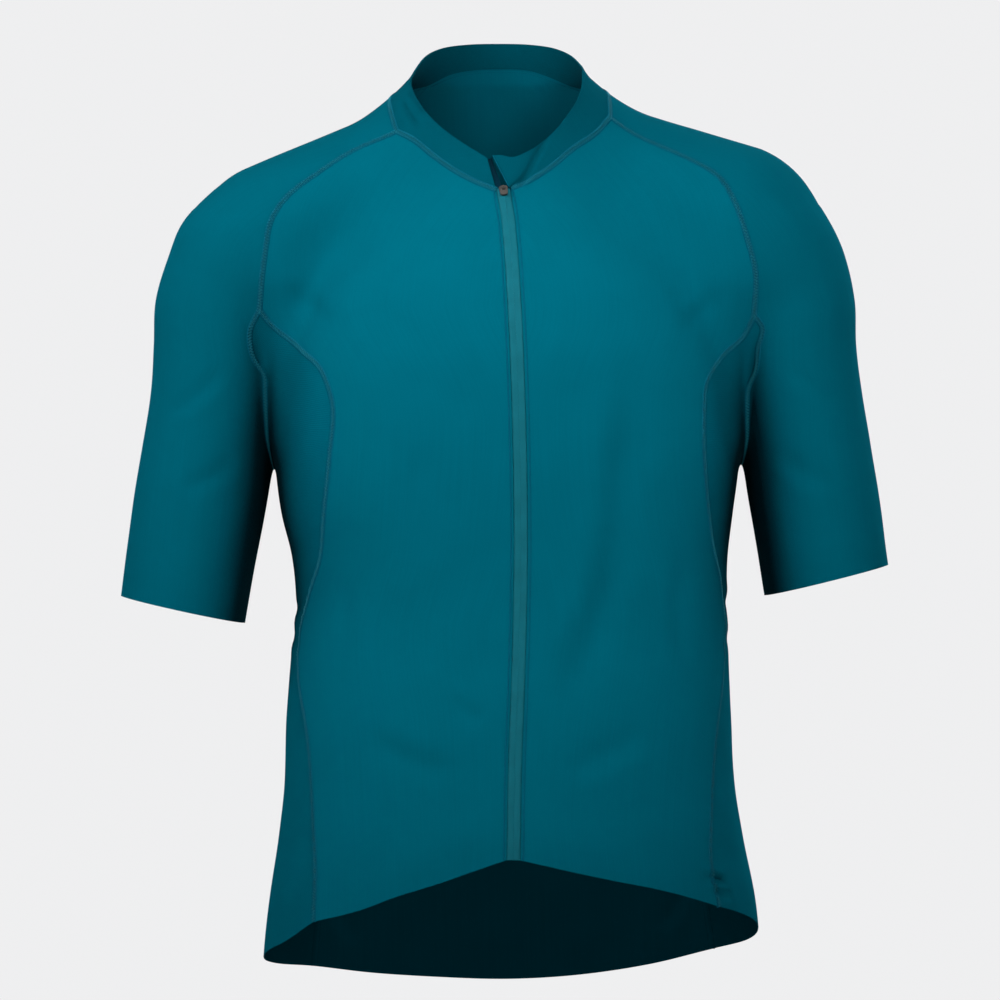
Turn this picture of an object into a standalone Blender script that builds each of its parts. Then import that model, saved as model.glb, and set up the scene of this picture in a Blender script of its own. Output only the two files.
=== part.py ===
"""Short-sleeved cycling jersey in its worn, hollow form, made of thin sewn panels.

The cloth follows one smooth form: a trunk, a neck, two shoulders and two upper arms, blended
into each other. A seam is a guide line laid on that form. A panel is a grid between its seams,
set on the form and given a wall on its inner side. Lengths are millimetres in the tables and
are turned into metres when a mesh is made. +X is the wearer's left, -Y the front and +Z up,
and the origin is in the middle of the neck, at the height of the shoulders.
"""

import math

import bmesh
import bpy
import numpy as np

METRE = 1000.0

# Cloth and seams
CLOTH_WALL = 1.5
TAPE_WALL = 1.2
SEAM_GAP = 0.3
ZIP_HALF_WIDTH = 5.4
ZIP_ROW_BREAK = -150.0

# Grid of each panel, in cells
FRONT_COLUMNS = 9
BACK_COLUMNS = 14
SLEEVE_COLUMNS = 18
RAGLAN_ROWS = 8
ARMHOLE_ROWS = 6
SIDE_ROWS = 16
UNDERARM_ROWS = 6
COLLAR_ROWS = 2
RELAX_ROUNDS = 40
EVEN_ROUNDS = 12
ARMHOLE_REACH = 0.5
HEM_REACH = 0.5
CREASE_LEVEL = -205.0

# Blends between the parts of the form
NECK_BLEND = 36.0
SHOULDER_BLEND = 30.0
TOP_BLEND = 20.0
PIT_BLEND = 7.5
WEB_BLEND = 22.0
PIT_LEVEL = -200.0
TOP_LEVEL = -100.0

# Slider and pull tab, in the slider's own directions: across, along the zip and outwards
SLIDER_LEVEL = -60.5
SLIDER_HALF_WIDTH = 3.4
SLIDER_TOP = 3.6
SLIDER_FOOT = -4.6
SLIDER_TAPER = 0.78
PLATE_WALL = 1.1
PLATE_CLEARANCE = 0.45
POST_LEFT = 0.3
POST_RIGHT = 1.6
POST_FOOT = 2.2
HINGE_ALONG = 1.2
BAR_RADIUS = 0.75
BAR_CLEARANCE = 0.35
ARCH_INNER = 1.1
ARCH_OUTER = 1.8
ARCH_HALF_WIDTH = 0.7
TAB_HALF_WIDTH = 2.6
TAB_LENGTH = 6.0
TAB_WALL = 0.9
WINDOW_HALF_WIDTH = 1.15
WINDOW_NEAR = 0.78
WINDOW_FAR = 2.15

# Flap over the zip's upper end
FLAP_LIFT = 2.3
FLAP_COLUMNS = 4

# Rear pockets, as a span of the back panel's own cells
POCKET_FIRST_COLUMN = 2
POCKET_LAST_COLUMN = 12
POCKET_TOP_ROW = 16
POCKET_FOOT_ROW = 23
POCKET_COUNT = 3
POCKET_GAP = 0.4
POCKET_BELLY = 3.0

SIDES = {"right": -1, "left": 1}


def table(columns, rows):
    """Returns the rows as one array for each named column."""
    return dict(zip(columns.split(), np.array(rows, float).T))


TRUNK = table(
    "z centre_x half_width front back squareness",
    [
        (-760, 5, 197, 112, 122, 2.30),
        (-640, 5, 193, 113, 120, 2.30),
        (-605, 5, 189, 113, 117, 2.30),
        (-560, 4, 181, 112, 111, 2.30),
        (-525, 3, 176, 109, 105, 2.30),
        (-465, 2, 173, 106, 98, 2.30),
        (-415, 3, 170, 104, 92, 2.30),
        (-380, 4, 168, 105, 91, 2.30),
        (-340, 3, 170, 109, 94, 2.35),
        (-305, 1, 176, 113, 99, 2.40),
        (-270, 1, 180, 117, 104, 2.40),
        (-225, 0, 181, 120, 109, 2.40),
        (-175, 0, 175, 120, 112, 2.35),
        (-130, -1, 158, 112, 112, 2.30),
        (-90, -2, 128, 96, 107, 2.20),
        (-50, -3, 92, 76, 94, 2.10),
        (-10, -4, 60, 55, 74, 2.00),
        (30, -4, 40, 40, 50, 2.00),
    ],
)

NECK = table(
    "z centre_x centre_y half_width front back",
    [
        (-160, -4, 0, 72, 60, 62),
        (-60, -4, -2, 84, 60, 64),
        (0, -5, -6, 88, 60, 64),
        (40, -6, -10, 64, 60, 62),
        (100, -7, -16, 58, 60, 62),
    ],
)

ROD_COLUMNS = "side start_x start_y start_z start_radius end_x end_y end_z end_radius depth_ratio"
SHOULDERS = table(
    ROD_COLUMNS,
    [
        (-1, -62, 12, -50, 66, -178, 2, -99, 66, 0.98),
        (1, 54, 12, -53, 72, 166, 2, -100, 84, 0.82),
    ],
)

# The cloth that spans from the chest to the front of each arm, above the armpit
WEBS = table(
    ROD_COLUMNS,
    [
        (-1, -174, -26, -128, 32, -158, -14, -236, 24, 1),
        (1, 172, -26, -128, 32, 160, -14, -236, 24, 1),
    ],
)

ARM_AXES = table(
    "side top_x top_y top_z end_x end_y end_z",
    [
        (-1, -205.5, 2, -75, -252, 0, -385),
        (1, 203, 2, -75, 251, 0, -370),
    ],
)

# Half sizes of an upper arm, by the distance down its axis
ARM = table(
    "down outer_right outer_left inner_right inner_left front back",
    [
        (0, 42, 36, 42, 42, 46, 48),
        (35, 51, 53.5, 48, 48, 55, 57),
        (75, 56.5, 57.5, 51, 51, 58, 59),
        (110, 53, 53, 51, 51, 57, 57),
        (145, 50.5, 51.5, 51, 49.5, 55, 55),
        (185, 50.5, 51.5, 51.5, 48.5, 54, 54),
        (225, 51, 51.5, 51.5, 49, 53, 53),
        (270, 50, 50, 50, 49, 52, 52),
        (340, 48.5, 48.5, 48.5, 48.5, 50, 50),
    ],
)
ARM_SQUARENESS = 2.1
# The arm's upper end: how far it stands over its axis's top, and how wide its edge is rounded
ARM_CAP = 4.0
ARM_ROUNDING = 30.0

# Cuff planes: where the outer and the inner end of the cuff lie
CUFFS = table(
    "side outer_x outer_z inner_x inner_z",
    [
        (-1, -299, -371, -206, -391.5),
        (1, 296, -347, 204, -370),
    ],
)

# Guide points (x, y, z) of the seams and free edges
ZIP_LINE = [
    (-2.2, -83, -60),
    (1.4, -93, -83),
    (3, -101, -100),
    (6, -116, -146),
    (9.6, -119, -236),
    (11, -110, -327),
    (9, -104, -432),
    (6.7, -107, -493),
    (5.5, -112, -568),
]
NECK_FRONT_CORNER = {"right": (-84, -47, -13), "left": (80, -36, -1)}
NECK_BACK_CORNER = {"right": (-74, 40, 38), "left": (66, 40, 37)}
PANEL_FRONT_CORNER = {"right": (-189, -51, -149), "left": (190, -53, -154)}
PANEL_BACK_CORNER = {"right": (-186, 62, -150), "left": (190, 62, -150)}
UNDERARM = {"right": (-180, 0, -281), "left": (186, 0, -264)}
HEM_FRONT_CORNER = {"right": (-147, -76, -618), "left": (163, -70, -607)}
HEM_BACK_CORNER = {"right": (-155, 82, -668), "left": (167, 80, -654)}

COLLAR_FRONT = {
    "right": [(-25, -79, -53), (-39, -74, -45), (-58, -64, -31), (-71, -56, -20)],
    "left": [(14, -80, -55), (30, -74, -45), (54, -59, -25), (67, -51, -16)],
}
COLLAR_SIDE = {
    "right": [(-89, -35, 3), (-90, -11, 17), (-87, 15, 29)],
    "left": [(80, -24, 12), (79, -8, 20), (76, 15, 29)],
}
COLLAR_BACK = [(-52, 57, 43), (-28, 66, 45), (-4, 69, 46), (22, 66, 45), (46, 57, 42)]
RAGLAN_FRONT = {
    "right": [
        (-113, -41, -25),
        (-145, -48, -45),
        (-168, -55, -63),
        (-180, -60, -82),
        (-184, -62, -104),
        (-187, -57, -130),
    ],
    "left": [
        (119, -39, -23),
        (140, -44, -33),
        (164, -52, -49),
        (176, -62, -70),
        (184, -65, -95),
        (190, -63, -119),
    ],
}
RAGLAN_BACK = {
    "right": [(-105, 52, 12), (-138, 62, -22), (-165, 68, -62), (-178, 68, -100)],
    "left": [(100, 54, 16), (138, 66, -16), (166, 72, -56), (182, 72, -98)],
}
ARMHOLE_FRONT = {
    "right": [
        (-197, -52, -168),
        (-195, -47, -187),
        (-187, -38, -200),
        (-183, -30, -222),
        (-178, -33, -242),
        (-176, -30, -260),
    ],
    "left": [
        (197, -53, -164),
        (194, -49, -180),
        (193, -47, -192),
        (188, -39, -213),
        (184, -29, -235),
        (184, -24, -252),
    ],
}
ARMHOLE_BACK = {
    "right": [(-190, 50, -185), (-186, 40, -220), (-181, 26, -255)],
    "left": [(194, 50, -183), (190, 38, -218), (186, 24, -250)],
}
SIDE_FRONT = {
    "right": [
        (-182, -53, -160),
        (-158, -64, -180),
        (-141, -85, -197),
        (-132, -92, -222),
        (-134, -88, -263),
        (-139, -76, -312),
        (-143, -65, -343),
        (-152, -48, -370),
        (-159, -34, -398),
        (-159, -38, -428),
        (-154, -55, -470),
        (-149, -66, -532),
        (-146, -74, -583),
    ],
    "left": [
        (180, -46, -167),
        (164, -58, -187),
        (154, -74, -205),
        (151, -78, -238),
        (153, -73, -281),
        (158, -58, -324),
        (166, -36, -364),
        (169, -27, -390),
        (167, -34, -430),
        (161, -50, -480),
        (158, -62, -530),
        (157, -71, -576),
    ],
}
SIDE_BACK = {
    "right": [
        (-162, 84, -178),
        (-146, 94, -205),
        (-140, 97, -240),
        (-143, 90, -290),
        (-150, 74, -345),
        (-160, 42, -392),
        (-161, 38, -420),
        (-155, 57, -465),
        (-150, 72, -520),
        (-150, 82, -590),
    ],
    "left": [
        (166, 84, -180),
        (152, 94, -207),
        (148, 97, -240),
        (150, 90, -290),
        (156, 74, -345),
        (167, 42, -390),
        (168, 38, -418),
        (162, 57, -465),
        (158, 72, -520),
        (160, 82, -580),
    ],
}
HEM_FRONT = {
    "right": [(-26, -112, -577), (-54, -109, -587), (-82, -104, -596), (-110, -96, -607)],
    "left": [(45, -111, -576), (81, -106, -584), (121, -94, -593), (141, -85, -599)],
}
HEM_SIDE = {
    "right": [(-169, -57, -634), (-184, -31, -644), (-190, 0, -653), (-184, 45, -662)],
    "left": [(180, -53, -613), (193, -28, -621), (198, 0, -630), (192, 42, -643)],
}
HEM_BACK = [(-110, 106, -676), (-55, 117, -681), (4, 120, -683), (62, 118, -679), (118, 108, -669)]
COLLAR_TOP = [
    (-14.5, -75, -35.5),
    (-31, -70, -25),
    (-52, -61, -9),
    (-62, -54, 2),
    (-70, -44, 15),
    (-74, -28, 27),
    (-74, -6, 40),
    (-69, 18, 52),
    (-52, 39, 60),
    (-28, 50, 64),
    (-6, 53, 65),
    (16, 50, 64),
    (38, 39, 60),
    (54, 18, 52),
    (60, -6, 41),
    (59, -24, 34),
    (58, -41, 21),
    (54, -51, 9),
    (46, -58, -3),
    (37, -63, -14),
    (31, -66, -20),
]
# The zip's upper half on the wearer's right, where the zip is open
TAPE_TOP = (-11.2, -75, -35)
# Flap: its free edge and the seam that joins it to the collar
FLAP_FREE_FOOT = (1.9, -83, -59.4)
FLAP_FREE_TOP = (-10.2, -75, -34.4)
FLAP_TOP = [(-5, -75, -34), (5, -75, -35.5), (13.6, -73, -32), (23.6, -70, -26)]
FLAP_SEAM = [(14, -80, -51)]

COLOURS = {
    "front": (0.0, 0.105, 0.165),
    "side": (0.0, 0.062, 0.095),
    "sleeve": (0.0, 0.10, 0.155),
    "collar": (0.0, 0.075, 0.115),
    "zip": (0.005, 0.13, 0.17),
    "metal": (0.20, 0.19, 0.18),
}


def spread(rows, key, step=1.0):
    """Samples each column of a table finely in its key column, on smooth cubic curves.

    Args:
        rows: the table.
        key: the column that the others depend on.
        step: the distance between samples.
    Returns:
        The sampled key values, and a dict of the sampled columns.
    """
    order = np.argsort(rows[key])
    at = rows[key][order]
    fine = np.arange(at[0], at[-1] + step / 2, step)
    slot = np.clip(np.searchsorted(at, fine, side="right") - 1, 0, len(at) - 2)
    width = at[slot + 1] - at[slot]
    t = (fine - at[slot]) / width
    columns = {}
    for name, column in rows.items():
        if name == key:
            continue
        values = column[order]
        slope = np.gradient(values, at)
        start = values[slot] * (1 + 2 * t) * (1 - t) ** 2
        leave = slope[slot] * width * t * (1 - t) ** 2
        end = values[slot + 1] * t * t * (3 - 2 * t)
        arrive = slope[slot + 1] * width * t * t * (1 - t)
        columns[name] = start + leave + end - arrive
    return fine, columns


def read(sampled, at):
    """Returns a sampled table's columns at the given key values."""
    fine, columns = sampled
    return {name: np.interp(at, fine, column) for name, column in columns.items()}


TRUNK_FINE = spread(TRUNK, "z")
NECK_FINE = spread(NECK, "z")
ARM_FINE = spread(ARM, "down")


def row_of(rows, side):
    """Returns the row of a side's table as a dict of numbers."""
    at = int(np.flatnonzero(rows["side"] == side)[0])
    return {name: column[at] for name, column in rows.items()}


def oval_distance(across, deep, half, depth, squareness):
    """Returns the distance from an oval ring, measured from its centre, below 0 inside."""
    level = np.abs(across / half) ** squareness + np.abs(deep / depth) ** squareness
    level = np.maximum(level ** (1 / squareness), 1e-3)
    reach = np.maximum(np.hypot(across, deep), 1e-3 * np.minimum(half, depth))
    return reach - reach / level


def blend(a, b, width):
    """Joins two distances with a smooth valley of the given width."""
    share = np.maximum(width - np.abs(a - b), 0) / width
    return np.minimum(a, b) - share * share * width / 4


def trunk(p):
    """Returns the trunk's level at each point."""
    ring = read(TRUNK_FINE, p[:, 2])
    depth = np.where(p[:, 1] < 0, ring["front"], ring["back"])
    return oval_distance(p[:, 0] - ring["centre_x"], p[:, 1], ring["half_width"], depth, ring["squareness"])


def neck(p):
    """Returns the neck's level at each point."""
    ring = read(NECK_FINE, p[:, 2])
    deep = p[:, 1] - ring["centre_y"]
    depth = np.where(deep < 0, ring["front"], ring["back"])
    return oval_distance(p[:, 0] - ring["centre_x"], deep, ring["half_width"], depth, 2.0)


def rod(p, rows, side):
    """Returns the level of one side's rod, which changes its radius from its start to its end."""
    row = row_of(rows, side)
    start = np.array((row["start_x"], row["start_y"], row["start_z"]))
    end = np.array((row["end_x"], row["end_y"], row["end_z"]))
    t = np.clip((p - start) @ (end - start) / ((end - start) @ (end - start)), 0, 1)
    off = (p - start - t[:, None] * (end - start)) / (1, row["depth_ratio"], 1)
    return np.linalg.norm(off, axis=1) - row["start_radius"] - t * (row["end_radius"] - row["start_radius"])


def arm_frame(side):
    """Returns an arm's top point and its directions down, outwards and backwards."""
    row = row_of(ARM_AXES, side)
    top = np.array((row["top_x"], row["top_y"], row["top_z"]))
    end = np.array((row["end_x"], row["end_y"], row["end_z"]))
    down = (end - top) / np.linalg.norm(end - top)
    out = np.cross((0, 1, 0), down) * -side
    out = out / np.linalg.norm(out)
    return top, down, out, np.cross(down, out) * side


def arm(p, side):
    """Returns the level of an upper arm at each point."""
    top, down, out, back = arm_frame(side)
    off = p - top
    along = off @ down
    across = off @ out
    deep = off @ back
    ring = read(ARM_FINE, along)
    name = "right" if side < 0 else "left"
    half = np.where(across > 0, ring["outer_" + name], ring["inner_" + name])
    depth = np.where(deep < 0, ring["front"], ring["back"])
    oval = oval_distance(across, deep, half, depth, ARM_SQUARENESS)
    return -blend(-oval, along + ARM_CAP, ARM_ROUNDING)


def evened(level, p, *more):
    """Returns a level divided by its slope, so that it is close to a true distance."""
    nudge = 0.5
    here = level(p, *more)
    slope = np.stack([level(p + d, *more) - here for d in np.eye(3) * nudge], 1) / nudge
    return here / np.maximum(np.linalg.norm(slope, axis=1), 0.5)


def ease(x, start, end):
    """Returns a smooth step from 0 at start to 1 at end."""
    t = np.clip((x - start) / (end - start), 0, 1)
    return t * t * (3 - 2 * t)


def armless(p):
    """Returns the distance of each point from the form without its arms."""
    level = blend(evened(trunk, p), evened(neck, p), NECK_BLEND)
    for side in SIDES.values():
        level = blend(level, evened(rod, p, SHOULDERS, side), SHOULDER_BLEND)
        level = blend(level, evened(rod, p, WEBS, side), WEB_BLEND)
    return level


def form(p):
    """Returns the distance of each point from the whole form."""
    level = armless(p)
    arm_blend = PIT_BLEND + (TOP_BLEND - PIT_BLEND) * ease(p[:, 2], PIT_LEVEL, TOP_LEVEL)
    for side in SIDES.values():
        level = blend(level, evened(arm, p, side), arm_blend)
    return level


def slopes(p):
    """Returns the slope of the form's distance at each point."""
    nudge = 0.4
    return np.stack([form(p + d) - form(p - d) for d in np.eye(3) * nudge], 1) / (2 * nudge)


def outwards(p):
    """Returns the unit direction out of the form at each point."""
    slope = slopes(p)
    return slope / np.linalg.norm(slope, axis=1, keepdims=True)


def onto_form(p, rounds=12):
    """Moves points to the form's surface, at most 25 mm a round."""
    p = np.array(p, float)
    shape = p.shape
    p = p.reshape(-1, 3)
    for _ in range(rounds):
        slope = slopes(p)
        move = form(p)[:, None] * slope / np.maximum((slope * slope).sum(1), 0.15)[:, None]
        length = np.maximum(np.linalg.norm(move, axis=1, keepdims=True), 1e-9)
        p = p - move * np.minimum(1, 25 / length)
    return p.reshape(shape)


def spline(points, per_span=24):
    """Returns a dense smooth curve through the points, with spans weighted by their length."""
    points = np.array(points, float)
    gaps = np.linalg.norm(np.diff(points, axis=0), axis=1)
    at = np.concatenate([[0], np.cumsum(gaps)])
    slope = np.gradient(points, at, axis=0)
    dense = []
    for k, gap in enumerate(gaps):
        t = np.arange(per_span)[:, None] / per_span
        start = points[k] * (1 + 2 * t) * (1 - t) ** 2 + slope[k] * gap * t * (1 - t) ** 2
        end = points[k + 1] * t * t * (3 - 2 * t) - slope[k + 1] * gap * t * t * (1 - t)
        dense.append(start + end)
    dense.append(points[-1:])
    return np.concatenate(dense)


def stations(curve, count=None, shares=None):
    """Returns points along a curve, evenly spaced or at the given shares of its length."""
    gaps = np.linalg.norm(np.diff(curve, axis=0), axis=1)
    at = np.concatenate([[0], np.cumsum(gaps)])
    wanted = (np.linspace(0, 1, count + 1) if shares is None else np.array(shares)) * at[-1]
    return np.stack([np.interp(wanted, at, curve[:, k]) for k in range(3)], 1)


def seam(points, count):
    """Returns count + 1 evenly spaced points of the form along guide points."""
    curve = onto_form(spline(onto_form(points)))
    return onto_form(stations(curve, count))


def crease_gap(p, side):
    """Returns how much nearer each point is to the trunk than to an arm."""
    return evened(arm, p, side) - armless(p)


def into_crease(points, side, rounds=10):
    """Moves a seam's lower points along the form to the bottom of the crease under an arm."""
    points = points.copy()
    low = points[:, 2] < CREASE_LEVEL
    p = points[low]
    nudge = np.eye(3) * 0.4
    for _ in range(rounds):
        slope = np.stack([crease_gap(p + d, side) - crease_gap(p - d, side) for d in nudge], 1) / 0.8
        p = p - crease_gap(p, side)[:, None] * slope / (slope * slope).sum(1)[:, None]
        p = onto_form(p, 3)
    points[low] = p
    return points


def run(*pieces):
    """Joins rows of points end to end, each starting where the one before it ends."""
    return np.concatenate([pieces[0]] + [piece[1:] for piece in pieces[1:]])


def patch(first, last, left, right, first_reach=1.0, last_reach=1.0):
    """Returns a grid of points between four edges.

    Args:
        first: the first row's points, from left to right.
        last: the last row's points, from left to right.
        left: the first column's points, from the first row to the last.
        right: the last column's points, from the first row to the last.
        first_reach: the share of the rows over which the first row's own bend fades out.
        last_reach: the share of the rows over which the last row's own bend fades in.
    """
    across = np.linspace(0, 1, len(first))[:, None, None]
    down = np.linspace(0, 1, len(left))[None, :, None]
    columns = (1 - across) * left[None] + across * right[None]
    first_bend = first[:, None] - (1 - across) * first[0] - across * first[-1]
    last_bend = last[:, None] - (1 - across) * last[0] - across * last[-1]
    fade = np.maximum(1 - down / first_reach, 0)
    rise = np.maximum(1 - (1 - down) / last_reach, 0)
    return columns + fade * first_bend + rise * last_bend


def pull(grid):
    """Returns how far each inner point's neighbours, on the average, lie from it."""
    around = grid[:-2, 1:-1] + grid[2:, 1:-1] + grid[1:-1, :-2] + grid[1:-1, 2:]
    return around / 4 - grid[1:-1, 1:-1]


def relaxed(grid, rounds=RELAX_ROUNDS):
    """Sets a grid on the form and evens it there as it was planned; its edges stay."""
    planned = pull(grid)
    grid = grid.copy()
    grid[1:-1, 1:-1] = onto_form(grid[1:-1, 1:-1])
    for _ in range(rounds):
        grid[1:-1, 1:-1] = onto_form(grid[1:-1, 1:-1] + (pull(grid) - planned) / 2, 1)
    grid[1:-1, 1:-1] = onto_form(grid[1:-1, 1:-1], 4)
    return grid


def evenly_rowed(grid, share, rounds=EVEN_ROUNDS):
    """Sets a grid on the form, with the points of each row evenly spaced along that row.

    Args:
        grid: the planned points; those on its edges stay.
        share: how far each point goes to the middle of the rows beside it, each round.
        rounds: the number of rounds.
    """
    grid = grid.copy()
    count = len(grid) - 1
    grid[1:-1, 1:-1] = onto_form(grid[1:-1, 1:-1])
    for _ in range(rounds):
        for row in range(1, grid.shape[1] - 1):
            grid[1:-1, row] = stations(grid[:, row], count)[1:-1]
        between = (grid[1:-1, :-2] + grid[1:-1, 2:]) / 2
        grid[1:-1, 1:-1] = onto_form((1 - share) * grid[1:-1, 1:-1] + share * between, 2)
    grid[1:-1, 1:-1] = onto_form(grid[1:-1, 1:-1], 4)
    return grid


class Seams:
    """The seam and edge rows that the panels share, as points on the form."""

    def __init__(self):
        self.zip_middle = self.zip_rows(0)
        self.zip_edge = {name: self.zip_rows(side) for name, side in SIDES.items()}
        self.collar_front = {}
        self.collar_side = {}
        self.raglan_front = {}
        self.raglan_back = {}
        self.armhole_front = {}
        self.armhole_back = {}
        self.side_front = {}
        self.side_back = {}
        self.hem_front = {}
        self.hem_side = {}
        for name in SIDES:
            self.lay_side(name)
        corners = (NECK_BACK_CORNER["right"], NECK_BACK_CORNER["left"])
        self.collar_back = seam([corners[0], *COLLAR_BACK, corners[1]], BACK_COLUMNS)
        corners = (HEM_BACK_CORNER["right"], HEM_BACK_CORNER["left"])
        self.hem_back = seam([corners[0], *HEM_BACK, corners[1]], BACK_COLUMNS)

    def zip_rows(self, side):
        """Returns the zip's rows from its top down, on its middle or on one of its edges."""
        middle = onto_form(spline(onto_form(ZIP_LINE)))
        upper = middle[middle[:, 2] >= ZIP_ROW_BREAK]
        lower = middle[middle[:, 2] <= ZIP_ROW_BREAK]
        lower = np.concatenate([upper[-1:], lower])
        rows = run(stations(upper, RAGLAN_ROWS), stations(lower, SIDE_ROWS))
        along = np.gradient(rows, axis=0)
        across = np.cross(outwards(rows), along)
        across = across / np.linalg.norm(across, axis=1, keepdims=True)
        across = across * np.sign(across[:, :1])
        return onto_form(rows + side * ZIP_HALF_WIDTH * across)

    def lay_side(self, name):
        """Lays the seams of one half of the garment."""
        neck_front = NECK_FRONT_CORNER[name]
        neck_back = NECK_BACK_CORNER[name]
        panel_front = PANEL_FRONT_CORNER[name]
        panel_back = PANEL_BACK_CORNER[name]
        pit = UNDERARM[name]
        hem_front = HEM_FRONT_CORNER[name]
        hem_back = HEM_BACK_CORNER[name]
        edge = self.zip_edge[name]
        self.collar_front[name] = seam([edge[0], *COLLAR_FRONT[name], neck_front], FRONT_COLUMNS)
        self.collar_side[name] = seam([neck_front, *COLLAR_SIDE[name], neck_back], SLEEVE_COLUMNS)
        self.raglan_front[name] = seam([neck_front, *RAGLAN_FRONT[name], panel_front], RAGLAN_ROWS)
        self.raglan_back[name] = seam([neck_back, *RAGLAN_BACK[name], panel_back], RAGLAN_ROWS)
        armhole_front = seam([panel_front, *ARMHOLE_FRONT[name], pit], ARMHOLE_ROWS)
        armhole_back = seam([panel_back, *ARMHOLE_BACK[name], pit], ARMHOLE_ROWS)
        self.armhole_front[name] = into_crease(armhole_front, SIDES[name])
        self.armhole_back[name] = into_crease(armhole_back, SIDES[name])
        self.side_front[name] = seam([panel_front, *SIDE_FRONT[name], hem_front], SIDE_ROWS)
        self.side_back[name] = seam([panel_back, *SIDE_BACK[name], hem_back], SIDE_ROWS)
        self.hem_front[name] = seam([edge[-1], *HEM_FRONT[name], hem_front], FRONT_COLUMNS)
        self.hem_side[name] = seam([hem_front, *HEM_SIDE[name], hem_back], 2 * ARMHOLE_ROWS)


def grid_cells(columns, rows, wrap_rows=0):
    """Returns the cells of a grid as quads of point numbers, column by column.

    Args:
        columns: the number of cells across.
        rows: the number of cells down.
        wrap_rows: how many last rows are closed round, where the last column is the first.
    """
    number = np.arange((columns + 1) * (rows + 1)).reshape(columns + 1, rows + 1)
    if wrap_rows:
        number[-1, -1 - wrap_rows :] = number[0, -1 - wrap_rows :]
    quads = [number[:-1, :-1], number[1:, :-1], number[1:, 1:], number[:-1, 1:]]
    return np.stack([q.reshape(-1) for q in quads], 1)


def open_edges(quads):
    """Returns the edges that only one quad has, each in that quad's direction."""
    edges = np.concatenate([quads[:, [k, (k + 1) % 4]] for k in range(4)])
    keys = [tuple(sorted(edge)) for edge in edges.tolist()]
    counts = {}
    for key in keys:
        counts[key] = counts.get(key, 0) + 1
    return [edge for edge, key in zip(edges.tolist(), keys) if counts[key] == 1]


def halved(quads, points):
    """Cuts each cell into two triangles, along the diagonal that lies closer to the form."""
    middles = [(points[quads[:, k]] + points[quads[:, k + 2]]) / 2 for k in (0, 1)]
    first = np.abs(form(middles[0])) <= np.abs(form(middles[1]))
    cells = np.where(first[:, None], quads, np.roll(quads, -1, axis=1))
    return np.concatenate([cells[:, [0, 1, 2]], cells[:, [0, 2, 3]]])


def pulled_in(points, edges, normals, amount):
    """Moves the points on open edges into the panel, square to those edges."""
    sums = np.zeros_like(points)
    parts = {}
    for a, b in edges:
        along = points[b] - points[a]
        for end in (a, b):
            inward = np.cross(normals[end], along)
            inward = inward / np.linalg.norm(inward)
            parts.setdefault(end, []).append(inward)
    for end, inward in parts.items():
        total = inward[0] + inward[-1]
        sums[end] = total / max(1 + inward[0] @ inward[-1], 0.4)
    return points + amount * sums


def panel_mesh(name, points, quads, normals, wall, lift=None):
    """Makes a closed thin wall from an outer surface.

    Args:
        name: the object's name.
        points: the outer surface's points, in millimetres.
        quads: its cells.
        normals: the outward direction at each point.
        wall: the wall's thickness, measured inwards.
        lift: how far each point is moved outwards first.
    Returns:
        The new object.
    """
    a, b, c = (points[quads[:, k]] for k in (0, 1, 2))
    facing = (np.cross(b - a, c - a) * normals[quads[:, 0]]).sum()
    if facing < 0:
        quads = quads[:, ::-1]
    edges = open_edges(quads)
    outer = pulled_in(points, edges, normals, SEAM_GAP / 2)
    if lift is not None:
        outer = outer + lift[:, None] * normals
    inner = outer - wall * normals
    shape = bmesh.new()
    face = {k: shape.verts.new(outer[k] / METRE) for k in np.unique(quads).tolist()}
    lining = {k: shape.verts.new(inner[k] / METRE) for k in face}
    for a, b, c in halved(quads, points).tolist():
        shape.faces.new((face[a], face[b], face[c]))
        shape.faces.new((lining[c], lining[b], lining[a]))
    for a, b in edges:
        if tuple(points[a]) < tuple(points[b]):
            shape.faces.new((face[b], face[a], lining[b]))
            shape.faces.new((face[a], lining[a], lining[b]))
        else:
            shape.faces.new((face[b], face[a], lining[a]))
            shape.faces.new((face[b], lining[a], lining[b]))
    return finished(name, shape)


def finished(name, shape):
    """Turns a bmesh into a smooth shaded object of the scene."""
    mesh = bpy.data.meshes.new(name)
    shape.normal_update()
    shape.to_mesh(mesh)
    shape.free()
    mesh.shade_smooth()
    mesh.set_sharp_from_angle(angle=math.radians(40))
    thing = bpy.data.objects.new(name, mesh)
    bpy.context.scene.collection.objects.link(thing)
    return thing


def surface_panel(name, grid, wall=CLOTH_WALL, wrap_rows=0):
    """Makes a panel from a grid of points on the form."""
    columns, rows = grid.shape[0] - 1, grid.shape[1] - 1
    points = grid.reshape(-1, 3)
    return panel_mesh(name, points, grid_cells(columns, rows, wrap_rows), outwards(points), wall)


def front(seams, name):
    """Makes one front, from the zip to the raglan seam and the side panel."""
    outer = run(seams.raglan_front[name], seams.side_front[name])
    grid = patch(seams.collar_front[name], seams.hem_front[name], seams.zip_edge[name], outer)
    return surface_panel(f"front_{name}", relaxed(grid))


def back_grid(seams):
    """Returns the back's grid, from the collar down."""
    left = run(seams.raglan_back["right"], seams.side_back["right"])
    right = run(seams.raglan_back["left"], seams.side_back["left"])
    return relaxed(patch(seams.collar_back, seams.hem_back, left, right))


def side_panel(seams, name):
    """Makes the panel under the arm, from the armhole to the hem."""
    top = run(seams.armhole_front[name], seams.armhole_back[name][::-1])
    fore = seams.side_front[name]
    rear = seams.side_back[name]
    grid = patch(top, seams.hem_side[name], fore, rear, ARMHOLE_REACH, HEM_REACH)
    return surface_panel(f"side_{name}", evenly_rowed(grid, 0))


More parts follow.
